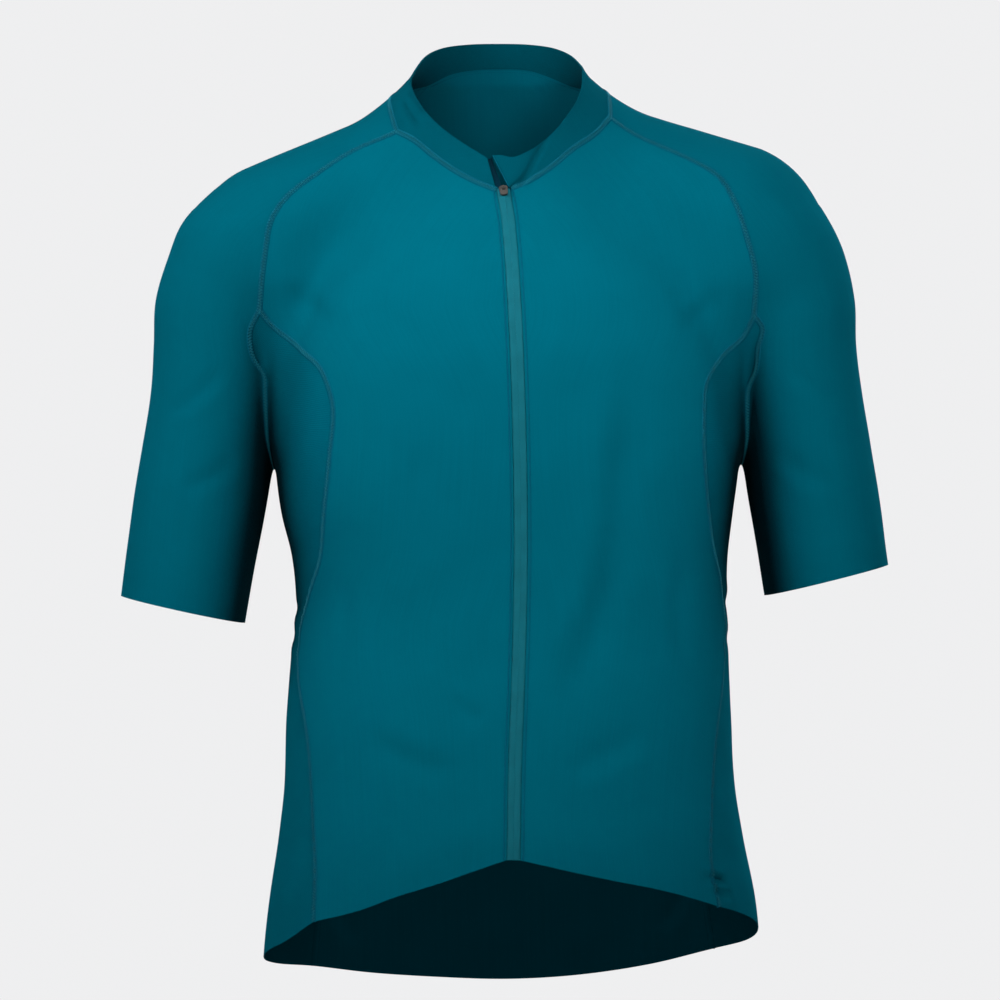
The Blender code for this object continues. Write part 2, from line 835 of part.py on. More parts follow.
def ring_in_plane(centre, first, second, columns):
    """Returns the points where rays from a centre, in a plane, leave the form.

    Args:
        centre: the centre of the rays.
        first: the plane's direction at the ring's start and end.
        second: the plane's direction a quarter turn on.
        columns: the number of cells round the ring.
    """
    turn = np.linspace(0, 2 * math.pi, columns + 1)[:, None]
    rays = np.cos(turn) * first + np.sin(turn) * second
    near = np.full(columns + 1, 20.0)
    far = np.full(columns + 1, 80.0)
    for _ in range(24):
        middle = (near + far) / 2
        inside = form(centre + middle[:, None] * rays) < 0
        near = np.where(inside, middle, near)
        far = np.where(inside, far, middle)
    return centre + near[:, None] * rays


def cuff_ring(name):
    """Returns the cuff's points, from the inner side over the front to the outer side and back."""
    row = row_of(CUFFS, SIDES[name])
    inner = np.array((row["inner_x"], 0, row["inner_z"]))
    outer = np.array((row["outer_x"], 0, row["outer_z"]))
    inward = (inner - outer) / np.linalg.norm(inner - outer)
    return ring_in_plane((inner + outer) / 2, inward, np.array((0, -1, 0)), SLEEVE_COLUMNS)


def sleeve_grid(seams, name):
    """Returns a sleeve's grid, from the collar over the shoulder and down to the cuff."""
    side = SIDES[name]
    cuff = cuff_ring(name)
    pit = seams.armhole_front[name][-1]
    underarm = seam([pit, (pit + cuff[0]) / 2, cuff[0]], UNDERARM_ROWS)
    top, down, out, _ = arm_frame(side)
    centre = top + ((pit - top) @ down) * down
    turn = np.linspace(0, 2 * math.pi, SLEEVE_COLUMNS + 1)[:, None]
    radius = np.linalg.norm(pit - centre)
    ring = centre - radius * np.cos(turn) * out - radius * np.sin(turn) * np.array((0, 1, 0))
    ring[1:-1] = onto_form(ring[1:-1])
    ring[0] = ring[-1] = pit
    before = run(seams.raglan_front[name], seams.armhole_front[name])
    behind = run(seams.raglan_back[name], seams.armhole_back[name])
    cap = patch(seams.collar_side[name], ring, before, behind)
    tube = patch(ring, cuff, underarm, underarm)
    return evenly_rowed(np.concatenate([cap, tube[:, 1:]], axis=1), 1 / 3)


def sleeve(seams, name):
    """Makes one raglan sleeve, closed round below the underarm."""
    return surface_panel(f"sleeve_{name}", sleeve_grid(seams, name), wrap_rows=UNDERARM_ROWS)


def shares_of(points):
    """Returns how far along its whole length each point of a row lies."""
    gaps = np.linalg.norm(np.diff(points, axis=0), axis=1)
    return np.concatenate([[0], np.cumsum(gaps)]) / gaps.sum()


def collar(seams):
    """Makes the stand collar, from its end at the zip round to the flap's seam."""
    foot = run(
        seams.collar_front["right"],
        seams.collar_side["right"],
        seams.collar_back,
        seams.collar_side["left"][::-1],
        seams.collar_front["left"][::-1],
    )
    top = onto_form(stations(onto_form(spline(COLLAR_TOP)), shares=shares_of(foot)))
    right = seam([foot[0], top[0]], COLLAR_ROWS)
    left = seam([foot[-1], *FLAP_SEAM, top[-1]], COLLAR_ROWS)
    return surface_panel("collar", relaxed(patch(foot, top, right, left)))


def zip_tape(seams, name):
    """Makes half of the zip; the right half goes on up beside the collar's end."""
    rows = np.stack([seams.zip_edge[name], seams.zip_middle])
    if name == "right":
        top = onto_form([COLLAR_TOP[0], TAPE_TOP])
        upper = [seam([top[k], rows[k][0]], COLLAR_ROWS)[:-1] for k in (0, 1)]
        rows = np.concatenate([np.stack(upper), rows], axis=1)
    return surface_panel(f"zip_tape_{name}", rows, TAPE_WALL)


def zip_flap(seams):
    """Makes the flap that covers the zip's upper end, lifted at its free edge."""
    corner = seams.zip_edge["left"][0]
    foot = seam([FLAP_FREE_FOOT, corner], FLAP_COLUMNS)
    top = seam([FLAP_FREE_TOP, *FLAP_TOP, COLLAR_TOP[-1]], FLAP_COLUMNS)
    free = seam([FLAP_FREE_FOOT, FLAP_FREE_TOP], COLLAR_ROWS)
    sewn = seam([corner, *FLAP_SEAM, COLLAR_TOP[-1]], COLLAR_ROWS)
    grid = relaxed(patch(foot, top, free, sewn))
    points = grid.reshape(-1, 3)
    across = np.linspace(1, 0, FLAP_COLUMNS + 1)
    lift = FLAP_LIFT * np.repeat(ease(across, 0, 1), COLLAR_ROWS + 1)
    cells = grid_cells(FLAP_COLUMNS, COLLAR_ROWS)
    return panel_mesh("zip_garage", points, cells, outwards(points), CLOTH_WALL, lift)


def rear_pockets(back):
    """Makes the pocket panel from the back's own points, moved out, open along its top."""
    part = back[POCKET_FIRST_COLUMN : POCKET_LAST_COLUMN + 1, POCKET_TOP_ROW : POCKET_FOOT_ROW + 1]
    columns, rows = part.shape[0] - 1, part.shape[1] - 1
    points = part.reshape(-1, 3)
    across = np.linspace(0, 1, columns + 1)[:, None]
    down = np.linspace(0, 1, rows + 1)[None]
    belly = np.abs(np.sin(across * POCKET_COUNT * math.pi)) * (1 - down) ** 2
    lift = CLOTH_WALL + POCKET_GAP + POCKET_BELLY * belly.reshape(-1)
    cells = grid_cells(columns, rows)
    return panel_mesh("rear_pockets", points, cells, outwards(points), CLOTH_WALL, lift)


class SliderFrame:
    """The slider's place on the zip and its directions across, along and outwards."""

    def __init__(self, seams):
        curve = onto_form(spline(onto_form(ZIP_LINE)))
        at = int(np.argmin(np.abs(curve[:, 2] - SLIDER_LEVEL)))
        self.origin = curve[at]
        self.out = outwards(self.origin[None])[0]
        along = curve[max(at - 3, 0)] - curve[at + 6]
        along = along - (along @ self.out) * self.out
        self.along = along / np.linalg.norm(along)
        self.across = np.cross(self.along, self.out)
        self.across = self.across * np.sign(self.across[0])

    def place(self, across, along, out):
        """Returns the world point at these distances from the slider's middle."""
        return self.origin + across * self.across + along * self.along + out * self.out


def extruded(name, frame, outline, low, high, as_point):
    """Makes a prism between two levels from an outline.

    Args:
        name: the object's name.
        frame: the slider's frame.
        outline: the outline's (u, v) points.
        low: the lower level.
        high: the upper level.
        as_point: turns (u, v, level) into the frame's across, along and outwards distances.
    """
    shape = bmesh.new()
    rings = []
    for level in (low, high):
        rings.append([shape.verts.new(frame.place(*as_point(u, v, level)) / METRE) for u, v in outline])
    shape.faces.new(rings[0][::-1])
    shape.faces.new(rings[1])
    for k in range(len(outline)):
        shape.faces.new((rings[0][k - 1], rings[0][k], rings[1][k], rings[1][k - 1]))
    bmesh.ops.recalc_face_normals(shape, faces=shape.faces)
    return finished(name, shape)


def joined(base, others, operation="UNION"):
    """Joins or cuts other solids with a base and removes them."""
    for other in others:
        boolean = base.modifiers.new(other.name, "BOOLEAN")
        boolean.operation = operation
        boolean.solver = "EXACT"
        boolean.object = other
    graph = bpy.context.evaluated_depsgraph_get()
    mesh = bpy.data.meshes.new_from_object(base.evaluated_get(graph))
    base.modifiers.clear()
    old = base.data
    base.data = mesh
    bpy.data.meshes.remove(old)
    for other in others:
        bpy.data.objects.remove(other)
    shape = bmesh.new()
    shape.from_mesh(mesh)
    bmesh.ops.triangulate(shape, faces=shape.faces)
    shape.to_mesh(mesh)
    shape.free()
    mesh.name = base.name
    mesh.shade_smooth()
    mesh.set_sharp_from_angle(angle=math.radians(40))
    return base


def flat(u, v, level):
    """Reads an outline as across and along, with its levels outwards."""
    return u, v, level


def profile(u, v, level):
    """Reads an outline as along and outwards, with its levels across."""
    return level, u, v


def plate_outline():
    """Returns the slider's plate: broad and round at the top, narrower at the foot."""
    points = []
    for k in range(9):
        turn = math.pi * k / 8
        rise = SLIDER_TOP - SLIDER_HALF_WIDTH * 0.6
        points.append((SLIDER_HALF_WIDTH * math.cos(turn), rise + SLIDER_HALF_WIDTH * 0.6 * math.sin(turn)))
    foot = SLIDER_HALF_WIDTH * SLIDER_TAPER
    points.extend([(-foot, SLIDER_FOOT + 0.8), (-foot + 0.8, SLIDER_FOOT)])
    points.extend([(foot - 0.8, SLIDER_FOOT), (foot, SLIDER_FOOT + 0.8)])
    return points


def circle(centre_u, centre_v, radius, count, start=0.0, end=2 * math.pi, closed=True):
    """Returns points on a circle or an arc."""
    last = count if closed else count - 1
    turns = [start + (end - start) * k / last for k in range(count)]
    return [(centre_u + radius * math.cos(t), centre_v + radius * math.sin(t)) for t in turns]


def zip_slider(frame):
    """Makes the slider: two plates joined by a post, and an arch that holds the tab."""
    face = PLATE_CLEARANCE + PLATE_WALL
    rear = -TAPE_WALL - PLATE_CLEARANCE
    outline = plate_outline()
    body = extruded("zip_slider", frame, outline, PLATE_CLEARANCE, face, flat)
    back_plate = extruded("slider_back", frame, outline, rear - PLATE_WALL, rear, flat)
    post_outline = [
        (POST_LEFT, POST_FOOT),
        (POST_RIGHT, POST_FOOT),
        (POST_RIGHT - 0.3, SLIDER_TOP - 0.4),
        (POST_LEFT + 0.3, SLIDER_TOP - 0.4),
    ]
    post = extruded("slider_post", frame, post_outline, rear - 0.3, face - 0.3, flat)
    centre = face + BAR_CLEARANCE + BAR_RADIUS
    outside = circle(HINGE_ALONG, centre, ARCH_OUTER, 9, 0, math.pi, False)
    inside = circle(HINGE_ALONG, centre, ARCH_INNER, 9, math.pi, 0, False)
    low = face - 0.4
    arch_outline = [(HINGE_ALONG + ARCH_OUTER, low), *outside, (HINGE_ALONG - ARCH_OUTER, low)]
    arch_outline += [(HINGE_ALONG - ARCH_INNER, low), *inside, (HINGE_ALONG + ARCH_INNER, low)]
    arch = extruded("slider_arch", frame, arch_outline, -ARCH_HALF_WIDTH, ARCH_HALF_WIDTH, profile)
    return joined(body, [post, back_plate, arch])


def pull_tab(frame):
    """Makes the tab: a round bar under the slider's arch and a rounded plate with a window."""
    centre = PLATE_CLEARANCE + PLATE_WALL + BAR_CLEARANCE + BAR_RADIUS
    bar = extruded(
        "pull_tab",
        frame,
        circle(HINGE_ALONG, centre, BAR_RADIUS, 12),
        -TAB_HALF_WIDTH,
        TAB_HALF_WIDTH,
        profile,
    )
    rounding = 1.6
    foot = HINGE_ALONG - TAB_LENGTH
    outline = [(-TAB_HALF_WIDTH, HINGE_ALONG), (TAB_HALF_WIDTH, HINGE_ALONG)]
    right = circle(TAB_HALF_WIDTH - rounding, foot + rounding, rounding, 5, 0, -math.pi / 2, False)
    left = circle(rounding - TAB_HALF_WIDTH, foot + rounding, rounding, 5, -math.pi / 2, -math.pi, False)
    low, high = centre - TAB_WALL / 2, centre + TAB_WALL / 2
    plate = extruded("tab_plate", frame, outline + right + left, low, high, flat)
    window_outline = [
        (-WINDOW_HALF_WIDTH, HINGE_ALONG - WINDOW_NEAR),
        (WINDOW_HALF_WIDTH, HINGE_ALONG - WINDOW_NEAR),
        (WINDOW_HALF_WIDTH, HINGE_ALONG - WINDOW_FAR),
        (-WINDOW_HALF_WIDTH, HINGE_ALONG - WINDOW_FAR),
    ]
    window = extruded("tab_window", frame, window_outline, centre - 2, centre + 2, flat)
    plate = joined(plate, [window], "DIFFERENCE")
    tab = joined(bar, [plate])
    pivot = frame.place(0, HINGE_ALONG, centre) / METRE
    for vertex in tab.data.vertices:
        vertex.co = vertex.co - type(vertex.co)(pivot)
    tab.location = pivot
    return tab


def finish_material(name, colour, roughness, metallic=0.0):
    """Makes a plain Principled material."""
    material = bpy.data.materials.new(name)
    material.use_nodes = True
    shader = material.node_tree.nodes["Principled BSDF"]
    shader.inputs["Base Color"].default_value = (*colour, 1.0)
    shader.inputs["Roughness"].default_value = roughness
    shader.inputs["Metallic"].default_value = metallic
    return material


def build():
    """Builds every piece of the jersey and gives each its material."""
    for thing in list(bpy.data.objects):
        bpy.data.objects.remove(thing)
    seams = Seams()
    made = []
    for name in SIDES:
        made.append((front(seams, name), "front"))
        made.append((side_panel(seams, name), "side"))
        made.append((sleeve(seams, name), "sleeve"))
        made.append((zip_tape(seams, name), "zip"))
    back = back_grid(seams)
    made.append((surface_panel("back", back), "front"))
    made.append((rear_pockets(back), "front"))
    made.append((collar(seams), "collar"))
    made.append((zip_flap(seams), "collar"))
    frame = SliderFrame(seams)
    made.append((zip_slider(frame), "metal"))
    made.append((pull_tab(frame), "metal"))
    for thing, colour in made:
        metal = colour == "metal"
        material = finish_material(thing.name, COLOURS[colour], 0.35 if metal else 0.7, float(metal))
        thing.data.materials.clear()
        thing.data.materials.append(material)


build()
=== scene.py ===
"""Dresses the cycling jersey: fine cloth shells, seams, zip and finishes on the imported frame.

The cloth follows one smooth figure in its worn form. Every panel is a fine grid between its
seams, set on that figure, raised and sunk by its folds and turned into a thin shell. Lengths are
millimetres while points are worked out and metres once they are in a mesh. +X is the wearer's
left, -Y the front and +Z up.
"""

import logging
import math
from dataclasses import dataclass, field
from enum import Enum
from typing import Callable, Optional, Sequence

import bpy
import numpy as np
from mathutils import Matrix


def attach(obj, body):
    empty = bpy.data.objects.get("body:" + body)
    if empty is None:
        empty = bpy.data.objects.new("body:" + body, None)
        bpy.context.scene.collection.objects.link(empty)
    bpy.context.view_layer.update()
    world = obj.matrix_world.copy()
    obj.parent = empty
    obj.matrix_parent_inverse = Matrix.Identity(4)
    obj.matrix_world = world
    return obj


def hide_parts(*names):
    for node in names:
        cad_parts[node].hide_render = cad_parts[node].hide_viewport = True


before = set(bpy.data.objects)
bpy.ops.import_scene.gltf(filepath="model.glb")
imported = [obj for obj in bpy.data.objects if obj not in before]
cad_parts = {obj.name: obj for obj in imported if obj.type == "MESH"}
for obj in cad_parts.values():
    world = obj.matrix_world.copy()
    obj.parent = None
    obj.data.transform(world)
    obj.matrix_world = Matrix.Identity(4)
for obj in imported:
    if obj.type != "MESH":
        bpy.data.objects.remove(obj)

log = logging.getLogger("jersey")

METRE = 1000.0
GARMENT = "garment"
TAB_BODY = "pull_tab"
UV_NAME = "cloth"
CREASE_ANGLE = math.radians(50)

# the range that most of a noise lies in
NOISE_LOW = 0.3
NOISE_HIGH = 0.7

# the tint of every cloth's sheen and gloss
SHINE = (0.25, 0.8, 1.0)

# painted shade: how far off other cloth still darkens the cloth's colour, in metres, and the darkest share
# of that colour where it's closed in
PAINTED_SHADE_REACH = 0.15
PAINTED_SHADE_DEEPEST = 0.08

# the narrowest flat width that a sheet is given, in metres
LEAST_FLAT_WIDTH = 0.01

Array = np.ndarray
Table = dict[str, Array]
Points = Sequence[tuple[float, float, float]]
Measure = tuple[Array, Array]
Socket = bpy.types.NodeSocket
Value = Socket | float
Colour = tuple[float, ...]

SIDES = {"right": -1, "left": 1}
FINE = 8

# cells of each panel's coarse grid, which is refined FINE times
FRONT_COLUMNS = 9
BACK_COLUMNS = 14
SLEEVE_COLUMNS = 18
RAGLAN_ROWS = 8
ARMHOLE_ROWS = 6
SIDE_ROWS = 16
UNDERARM_ROWS = 6
COLLAR_ROWS = 2


def table(columns: str, rows: Sequence[Sequence[float]]) -> Table:
    """Returns the rows as one array for each named column."""
    return dict(zip(columns.split(), np.array(rows, float).T))


TRUNK = table(
    "z centre_x half_width front back squareness",
    [
        (-760, 5, 197, 112, 122, 2.30),
        (-640, 5, 193, 113, 120, 2.30),
        (-605, 5, 189, 113, 117, 2.30),
        (-560, 4, 181, 112, 111, 2.30),
        (-525, 3, 176, 109, 105, 2.30),
        (-465, 2, 173, 106, 98, 2.30),
        (-415, 3, 170, 104, 92, 2.30),
        (-380, 4, 168, 105, 91, 2.30),
        (-340, 3, 170, 109, 94, 2.35),
        (-305, 1, 176, 113, 99, 2.40),
        (-270, 1, 180, 117, 104, 2.40),
        (-225, 0, 181, 120, 109, 2.40),
        (-175, 0, 175, 120, 112, 2.35),
        (-130, -1, 158, 112, 112, 2.30),
        (-90, -2, 128, 96, 107, 2.20),
        (-50, -3, 92, 76, 94, 2.10),
        (-10, -4, 60, 55, 74, 2.00),
        (30, -4, 40, 40, 50, 2.00),
    ],
)

NECK = table(
    "z centre_x centre_y half_width front back",
    [
        (-160, -4, 0, 72, 60, 62),
        (-60, -4, -2, 84, 60, 64),
        (0, -5, -6, 88, 60, 64),
        (40, -6, -10, 64, 60, 62),
        (100, -7, -16, 58, 60, 62),
    ],
)

ROD_COLUMNS = "side start_x start_y start_z start_radius end_x end_y end_z end_radius depth_ratio"

SHOULDERS = table(
    ROD_COLUMNS,
    [
        (-1, -62, 12, -50, 66, -178, 2, -99, 66, 0.98),
        (1, 54, 12, -53, 72, 166, 2, -100, 84, 0.82),
    ],
)

# the cloth that spans from the chest to the front of each arm, above the armpit
WEBS = table(
    ROD_COLUMNS,
    [
        (-1, -174, -26, -128, 32, -158, -14, -236, 24, 1),
        (1, 172, -26, -128, 32, 160, -14, -236, 24, 1),
    ],
)

ARM_AXES = table(
    "side top_x top_y top_z end_x end_y end_z",
    [
        (-1, -205.5, 2, -75, -252, 0, -385),
        (1, 203, 2, -75, 251, 0, -370),
    ],
)

ARM = table(
    "down outer_right outer_left inner_right inner_left front back",
    [
        (0, 42, 36, 42, 42, 46, 48),
        (35, 51, 53.5, 48, 48, 55, 57),
        (75, 56.5, 57.5, 51, 51, 58, 59),
        (110, 53, 53, 51, 51, 57, 57),
        (145, 50.5, 51.5, 51, 49.5, 55, 55),
        (185, 50.5, 51.5, 51.5, 48.5, 54, 54),
        (225, 51, 51.5, 51.5, 49, 53, 53),
        (270, 50, 50, 50, 49, 52, 52),
        (340, 48.5, 48.5, 48.5, 48.5, 50, 50),
    ],
)

CUFFS = table(
    "side outer_x outer_z inner_x inner_z",
    [
        (-1, -299, -371, -206, -391.5),
        (1, 296, -347, 204, -370),
    ],
)


def ease(x: Array, start: float, end: float) -> Array:
    """Returns a smooth step from 0 at start to 1 at end."""
    t = np.clip((x - start) / (end - start), 0, 1)
    return t * t * (3 - 2 * t)


def unit(vectors: Array) -> Array:
    """Returns the vectors at length 1."""
    return vectors / np.maximum(np.linalg.norm(vectors, axis=-1, keepdims=True), 1e-12)


def hermite(a: Array, b: Array, leave: Array, arrive: Array, t: Array) -> Array:
    """Returns the cubic curve from a to b with the given slopes, at shares t."""
    start = a * (1 + 2 * t) * (1 - t) ** 2 + leave * t * (1 - t) ** 2
    return start + b * t * t * (3 - 2 * t) - arrive * t * t * (1 - t)


def spline(points: Points, per_span: int = 24) -> Array:
    """Draws a smooth curve through points, with spans weighted by their length.

    Args:
        points: the points that it goes through.
        per_span: the number of steps between two of them.
    Returns:
        The curve as a dense row of points.
    """
    points = np.array(points, float)
    gaps = np.linalg.norm(np.diff(points, axis=0), axis=1)
    at = np.concatenate([[0], np.cumsum(gaps)])
    slope = np.gradient(points, at, axis=0)
    t = np.arange(per_span)[:, None] / per_span
    spans = [
        hermite(points[k], points[k + 1], slope[k] * gap, slope[k + 1] * gap, t)
        for k, gap in enumerate(gaps)
    ]
    return np.concatenate([*spans, points[-1:]])


def lengths(curve: Array) -> Array:
    """Returns the distance along a curve of each of its points."""
    gaps = np.linalg.norm(np.diff(curve, axis=0), axis=1)
    return np.concatenate([[0], np.cumsum(gaps)])


def stations(curve: Array, count: int = 0, shares: Optional[Array] = None) -> Array:
    """Picks points along a curve.

    Args:
        curve: the curve as a dense row of points.
        count: the number of even steps between the picked points.
        shares: the shares of the curve's length to pick at, in place of even steps.
    Returns:
        The picked points.
    """
    at = lengths(curve)
    wanted = (np.linspace(0, 1, count + 1) if shares is None else shares) * at[-1]
    return np.stack([np.interp(wanted, at, curve[:, k]) for k in range(3)], 1)


def run(*pieces: Array) -> Array:
    """Joins rows of points end to end, each starting where the one before it ends."""
    return np.concatenate([pieces[0], *(piece[1:] for piece in pieces[1:])])


class Sampled:
    """A table sampled finely in one column, on smooth cubic curves."""

    def __init__(self, rows: Table, key: str, step: float = 1.0) -> None:
        """Samples the table.

        Args:
            rows: the table.
            key: the column that the others depend on.
            step: the distance between samples.
        """
        order = np.argsort(rows[key])
        at = rows[key][order]
        self.fine = np.arange(at[0], at[-1] + step / 2, step)
        slot = np.clip(np.searchsorted(at, self.fine, side="right") - 1, 0, len(at) - 2)
        width = at[slot + 1] - at[slot]
        t = (self.fine - at[slot]) / width
        self.columns: Table = {}
        for name, column in rows.items():
            if name != key:
                values = column[order]
                slope = np.gradient(values, at)
                leave, arrive = slope[slot] * width, slope[slot + 1] * width
                self.columns[name] = hermite(values[slot], values[slot + 1], leave, arrive, t)

    def at(self, key: Array) -> Table:
        """Returns the columns at the given key values."""
        return {name: np.interp(key, self.fine, column) for name, column in self.columns.items()}


def valley(a: Array, b: Array, width: float | Array) -> Array:
    """Returns the smaller of two levels, rounded over the given width where they meet."""
    share = np.maximum(width - np.abs(a - b), 0) / width
    return np.minimum(a, b) - share * share * width / 4


def oval_distance(
    across: Array, deep: Array, half: Array, depth: Array, squareness: float | Array
) -> Array:
    """Works out how far points are outside an oval ring, along rays from its centre.

    Args:
        across: the points' places across the ring, from its centre.
        deep: their places from its front to its back.
        half: the ring's half width.
        depth: its half depth.
        squareness: 2 for an ellipse, more for a squarer ring.
    Returns:
        The distance of each point, below 0 inside.
    """
    level = np.abs(across / half) ** squareness + np.abs(deep / depth) ** squareness
    level = np.maximum(level ** (1 / squareness), 1e-3)
    reach = np.maximum(np.hypot(across, deep), 1e-3 * np.minimum(half, depth))
    return reach - reach / level


def row_of(rows: Table, side: int) -> dict[str, float]:
    """Returns the row of a side's table as a dict of numbers."""
    at = int(np.flatnonzero(rows["side"] == side)[0])
    return {name: float(column[at]) for name, column in rows.items()}


@dataclass
class Figure:
    """The smooth worn form: trunk, neck, shoulders and upper arms, blended into each other."""

    # the widths over which its forms blend into each other
    neck_blend: float = 36.0
    shoulder_blend: float = 30.0
    web_blend: float = 22.0
    # the same for an arm, above the top level and below that of the pit
    top_blend: float = 20.0
    pit_blend: float = 7.5
    pit_level: float = -200.0
    top_level: float = -100.0
    arm_squareness: float = 2.1
    # how far above its top point an arm ends, and how round that end is
    arm_cap: float = 4.0
    arm_rounding: float = 30.0
    # the step over which a slope is measured
    nudge: float = 0.5
    # the longest moves in one round
    stride: float = 25.0
    crease_stride: float = 12.0
    crease_rounds: int = 10
    # the least slope that is divided by, and its least square in a move
    least_slope: float = 0.5
    least_square: float = 0.15
    least_crease_square: float = 0.3

    def __post_init__(self) -> None:
        """Samples the tables."""
        self.trunk_rings = Sampled(TRUNK, "z")
        self.neck_rings = Sampled(NECK, "z")
        self.arm_rings = Sampled(ARM, "down")

    def trunk(self, p: Array) -> Array:
        """Works out the trunk's level.

        Args:
            p: the points.
        Returns:
            The level of each point, below 0 inside.
        """
        ring = self.trunk_rings.at(p[:, 2])
        depth = np.where(p[:, 1] < 0, ring["front"], ring["back"])
        across = p[:, 0] - ring["centre_x"]
        return oval_distance(across, p[:, 1], ring["half_width"], depth, ring["squareness"])

    def neck(self, p: Array) -> Array:
        """Works out the neck's level.

        Args:
            p: the points.
        Returns:
            The level of each point, below 0 inside.
        """
        ring = self.neck_rings.at(p[:, 2])
        deep = p[:, 1] - ring["centre_y"]
        depth = np.where(deep < 0, ring["front"], ring["back"])
        return oval_distance(p[:, 0] - ring["centre_x"], deep, ring["half_width"], depth, 2.0)

    def rod(self, p: Array, rows: Table, side: int) -> Array:
        """Works out the level of one side's rod, along which the radius changes evenly.

        Args:
            p: the points.
            rows: the table that the rod is in.
            side: -1 for the right one, 1 for the left one.
        Returns:
            The level of each point, below 0 inside.
        """
        row = row_of(rows, side)
        start = np.array((row["start_x"], row["start_y"], row["start_z"]))
        span = np.array((row["end_x"], row["end_y"], row["end_z"])) - start
        t = np.clip((p - start) @ span / (span @ span), 0, 1)
        off = (p - start - t[:, None] * span) / (1, row["depth_ratio"], 1)
        radius = row["start_radius"] + t * (row["end_radius"] - row["start_radius"])
        return np.linalg.norm(off, axis=1) - radius

    def arm_frame(self, side: int) -> tuple[Array, Array, Array, Array]:
        """Works out how an arm stands.

        Args:
            side: -1 for the right arm, 1 for the left one.
        Returns:
            Its top point and its directions down, outwards and backwards.
        """
        row = row_of(ARM_AXES, side)
        top = np.array((row["top_x"], row["top_y"], row["top_z"]))
        down = unit(np.array((row["end_x"], row["end_y"], row["end_z"])) - top)
        out = unit(np.cross((0, 1, 0), down) * -side)
        return top, down, out, np.cross(down, out) * side

    def arm(self, p: Array, side: int) -> Array:
        """Works out an upper arm's level.

        Args:
            p: the points.
            side: -1 for the right arm, 1 for the left one.
        Returns:
            The level of each point, below 0 inside.
        """
        top, down, out, back = self.arm_frame(side)
        off = p - top
        along, across, deep = off @ down, off @ out, off @ back
        ring = self.arm_rings.at(along)
        name = "right" if side < 0 else "left"
        half = np.where(across > 0, ring[f"outer_{name}"], ring[f"inner_{name}"])
        depth = np.where(deep < 0, ring["front"], ring["back"])
        oval = oval_distance(across, deep, half, depth, self.arm_squareness)
        return -valley(-oval, along + self.arm_cap, self.arm_rounding)

    def evened(self, level: Callable[..., Array], p: Array, *more: Table | int) -> Measure:
        """Turns a level into a distance.

        Args:
            level: the function that gives the level.
            p: the points.
            more: what the function takes after the points.
        Returns:
            The distance of each point and its slope.
        """
        here = level(p, *more)
        steps = np.eye(3) * self.nudge
        slope = np.stack([level(p + step, *more) - here for step in steps], 1) / self.nudge
        size = np.maximum(np.linalg.norm(slope, axis=1), self.least_slope)
        return here / size, slope / size[:, None]

    @staticmethod
    def blend(one: Measure, other: Measure, width: float | Array) -> Measure:
        """Joins two distances and their slopes with a smooth valley.

        Args:
            one: the first form's distances and slopes.
            other: the second form's.
            width: the valley's width.
        Returns:
            The joined form's distances and slopes.
        """
        a, b = one[0], other[0]
        share = np.maximum(width - np.abs(a - b), 0) / width
        weight = np.where(a < b, 1 - share / 2, share / 2)[:, None]
        return valley(a, b, width), weight * one[1] + (1 - weight) * other[1]

    def armless(self, p: Array) -> Measure:
        """Measures the figure without its arms.

        Args:
            p: the points.
        Returns:
            The distance of each point from it, and its slope.
        """
        made = self.blend(self.evened(self.trunk, p), self.evened(self.neck, p), self.neck_blend)
        for rows, width in ((SHOULDERS, self.shoulder_blend), (WEBS, self.web_blend)):
            for side in SIDES.values():
                made = self.blend(made, self.evened(self.rod, p, rows, side), width)
        return made

    def measure(self, p: Array) -> Measure:
        """Measures the whole figure.

        Args:
            p: the points.
        Returns:
            The distance of each point from it, and its slope.
        """
        made = self.armless(p)
        rise = ease(p[:, 2], self.pit_level, self.top_level)
        width = self.pit_blend + (self.top_blend - self.pit_blend) * rise
        for side in SIDES.values():
            made = self.blend(made, self.evened(self.arm, p, side), width)
        return made

    def outwards(self, p: Array) -> Array:
        """Returns the unit direction out of the figure at each point, in any array shape."""
        return unit(self.measure(p.reshape(-1, 3))[1]).reshape(p.shape)

    def settle(self, points: Array, rounds: int = 10) -> Array:
        """Moves points to the figure's surface.

        Args:
            points: the points, in an array of any shape.
            rounds: how often they are moved, by one stride at most.
        Returns:
            The moved points, in the same shape.
        """
        p = np.array(points, float)
        shape = p.shape
        p = p.reshape(-1, 3)
        for _ in range(rounds):
            level, slope = self.measure(p)
            move = level[:, None] * slope / np.maximum((slope * slope).sum(1), self.least_square)[:, None]
            size = np.maximum(np.linalg.norm(move, axis=1, keepdims=True), 1e-9)
            p = p - move * np.minimum(1, self.stride / size)
        return p.reshape(shape)

    def into_crease(self, points: Array, side: int, high: float, low: float) -> Array:
        """Moves a seam's lower points to the bottom of the crease under an arm.

        Args:
            points: the seam's points.
            side: -1 for the right arm, 1 for the left one.
            high: the level where the seam starts to bend in.
            low: the level from which it lies at the bottom.
        Returns:
            The seam's new points.
        """
        share = ease(-points[:, 2], -high, -low)[:, None]
        p = points.copy()
        for _ in range(self.crease_rounds):
            arm, arm_slope = self.evened(self.arm, p, side)
            body, body_slope = self.armless(p)
            slope = arm_slope - body_slope
            size = np.maximum((slope * slope).sum(1), self.least_crease_square)[:, None]
            p = p - np.clip(arm - body, -self.crease_stride, self.crease_stride)[:, None] * slope / size
            p = self.settle(p, 2)
        return self.settle(points + share * (p - points), 4)


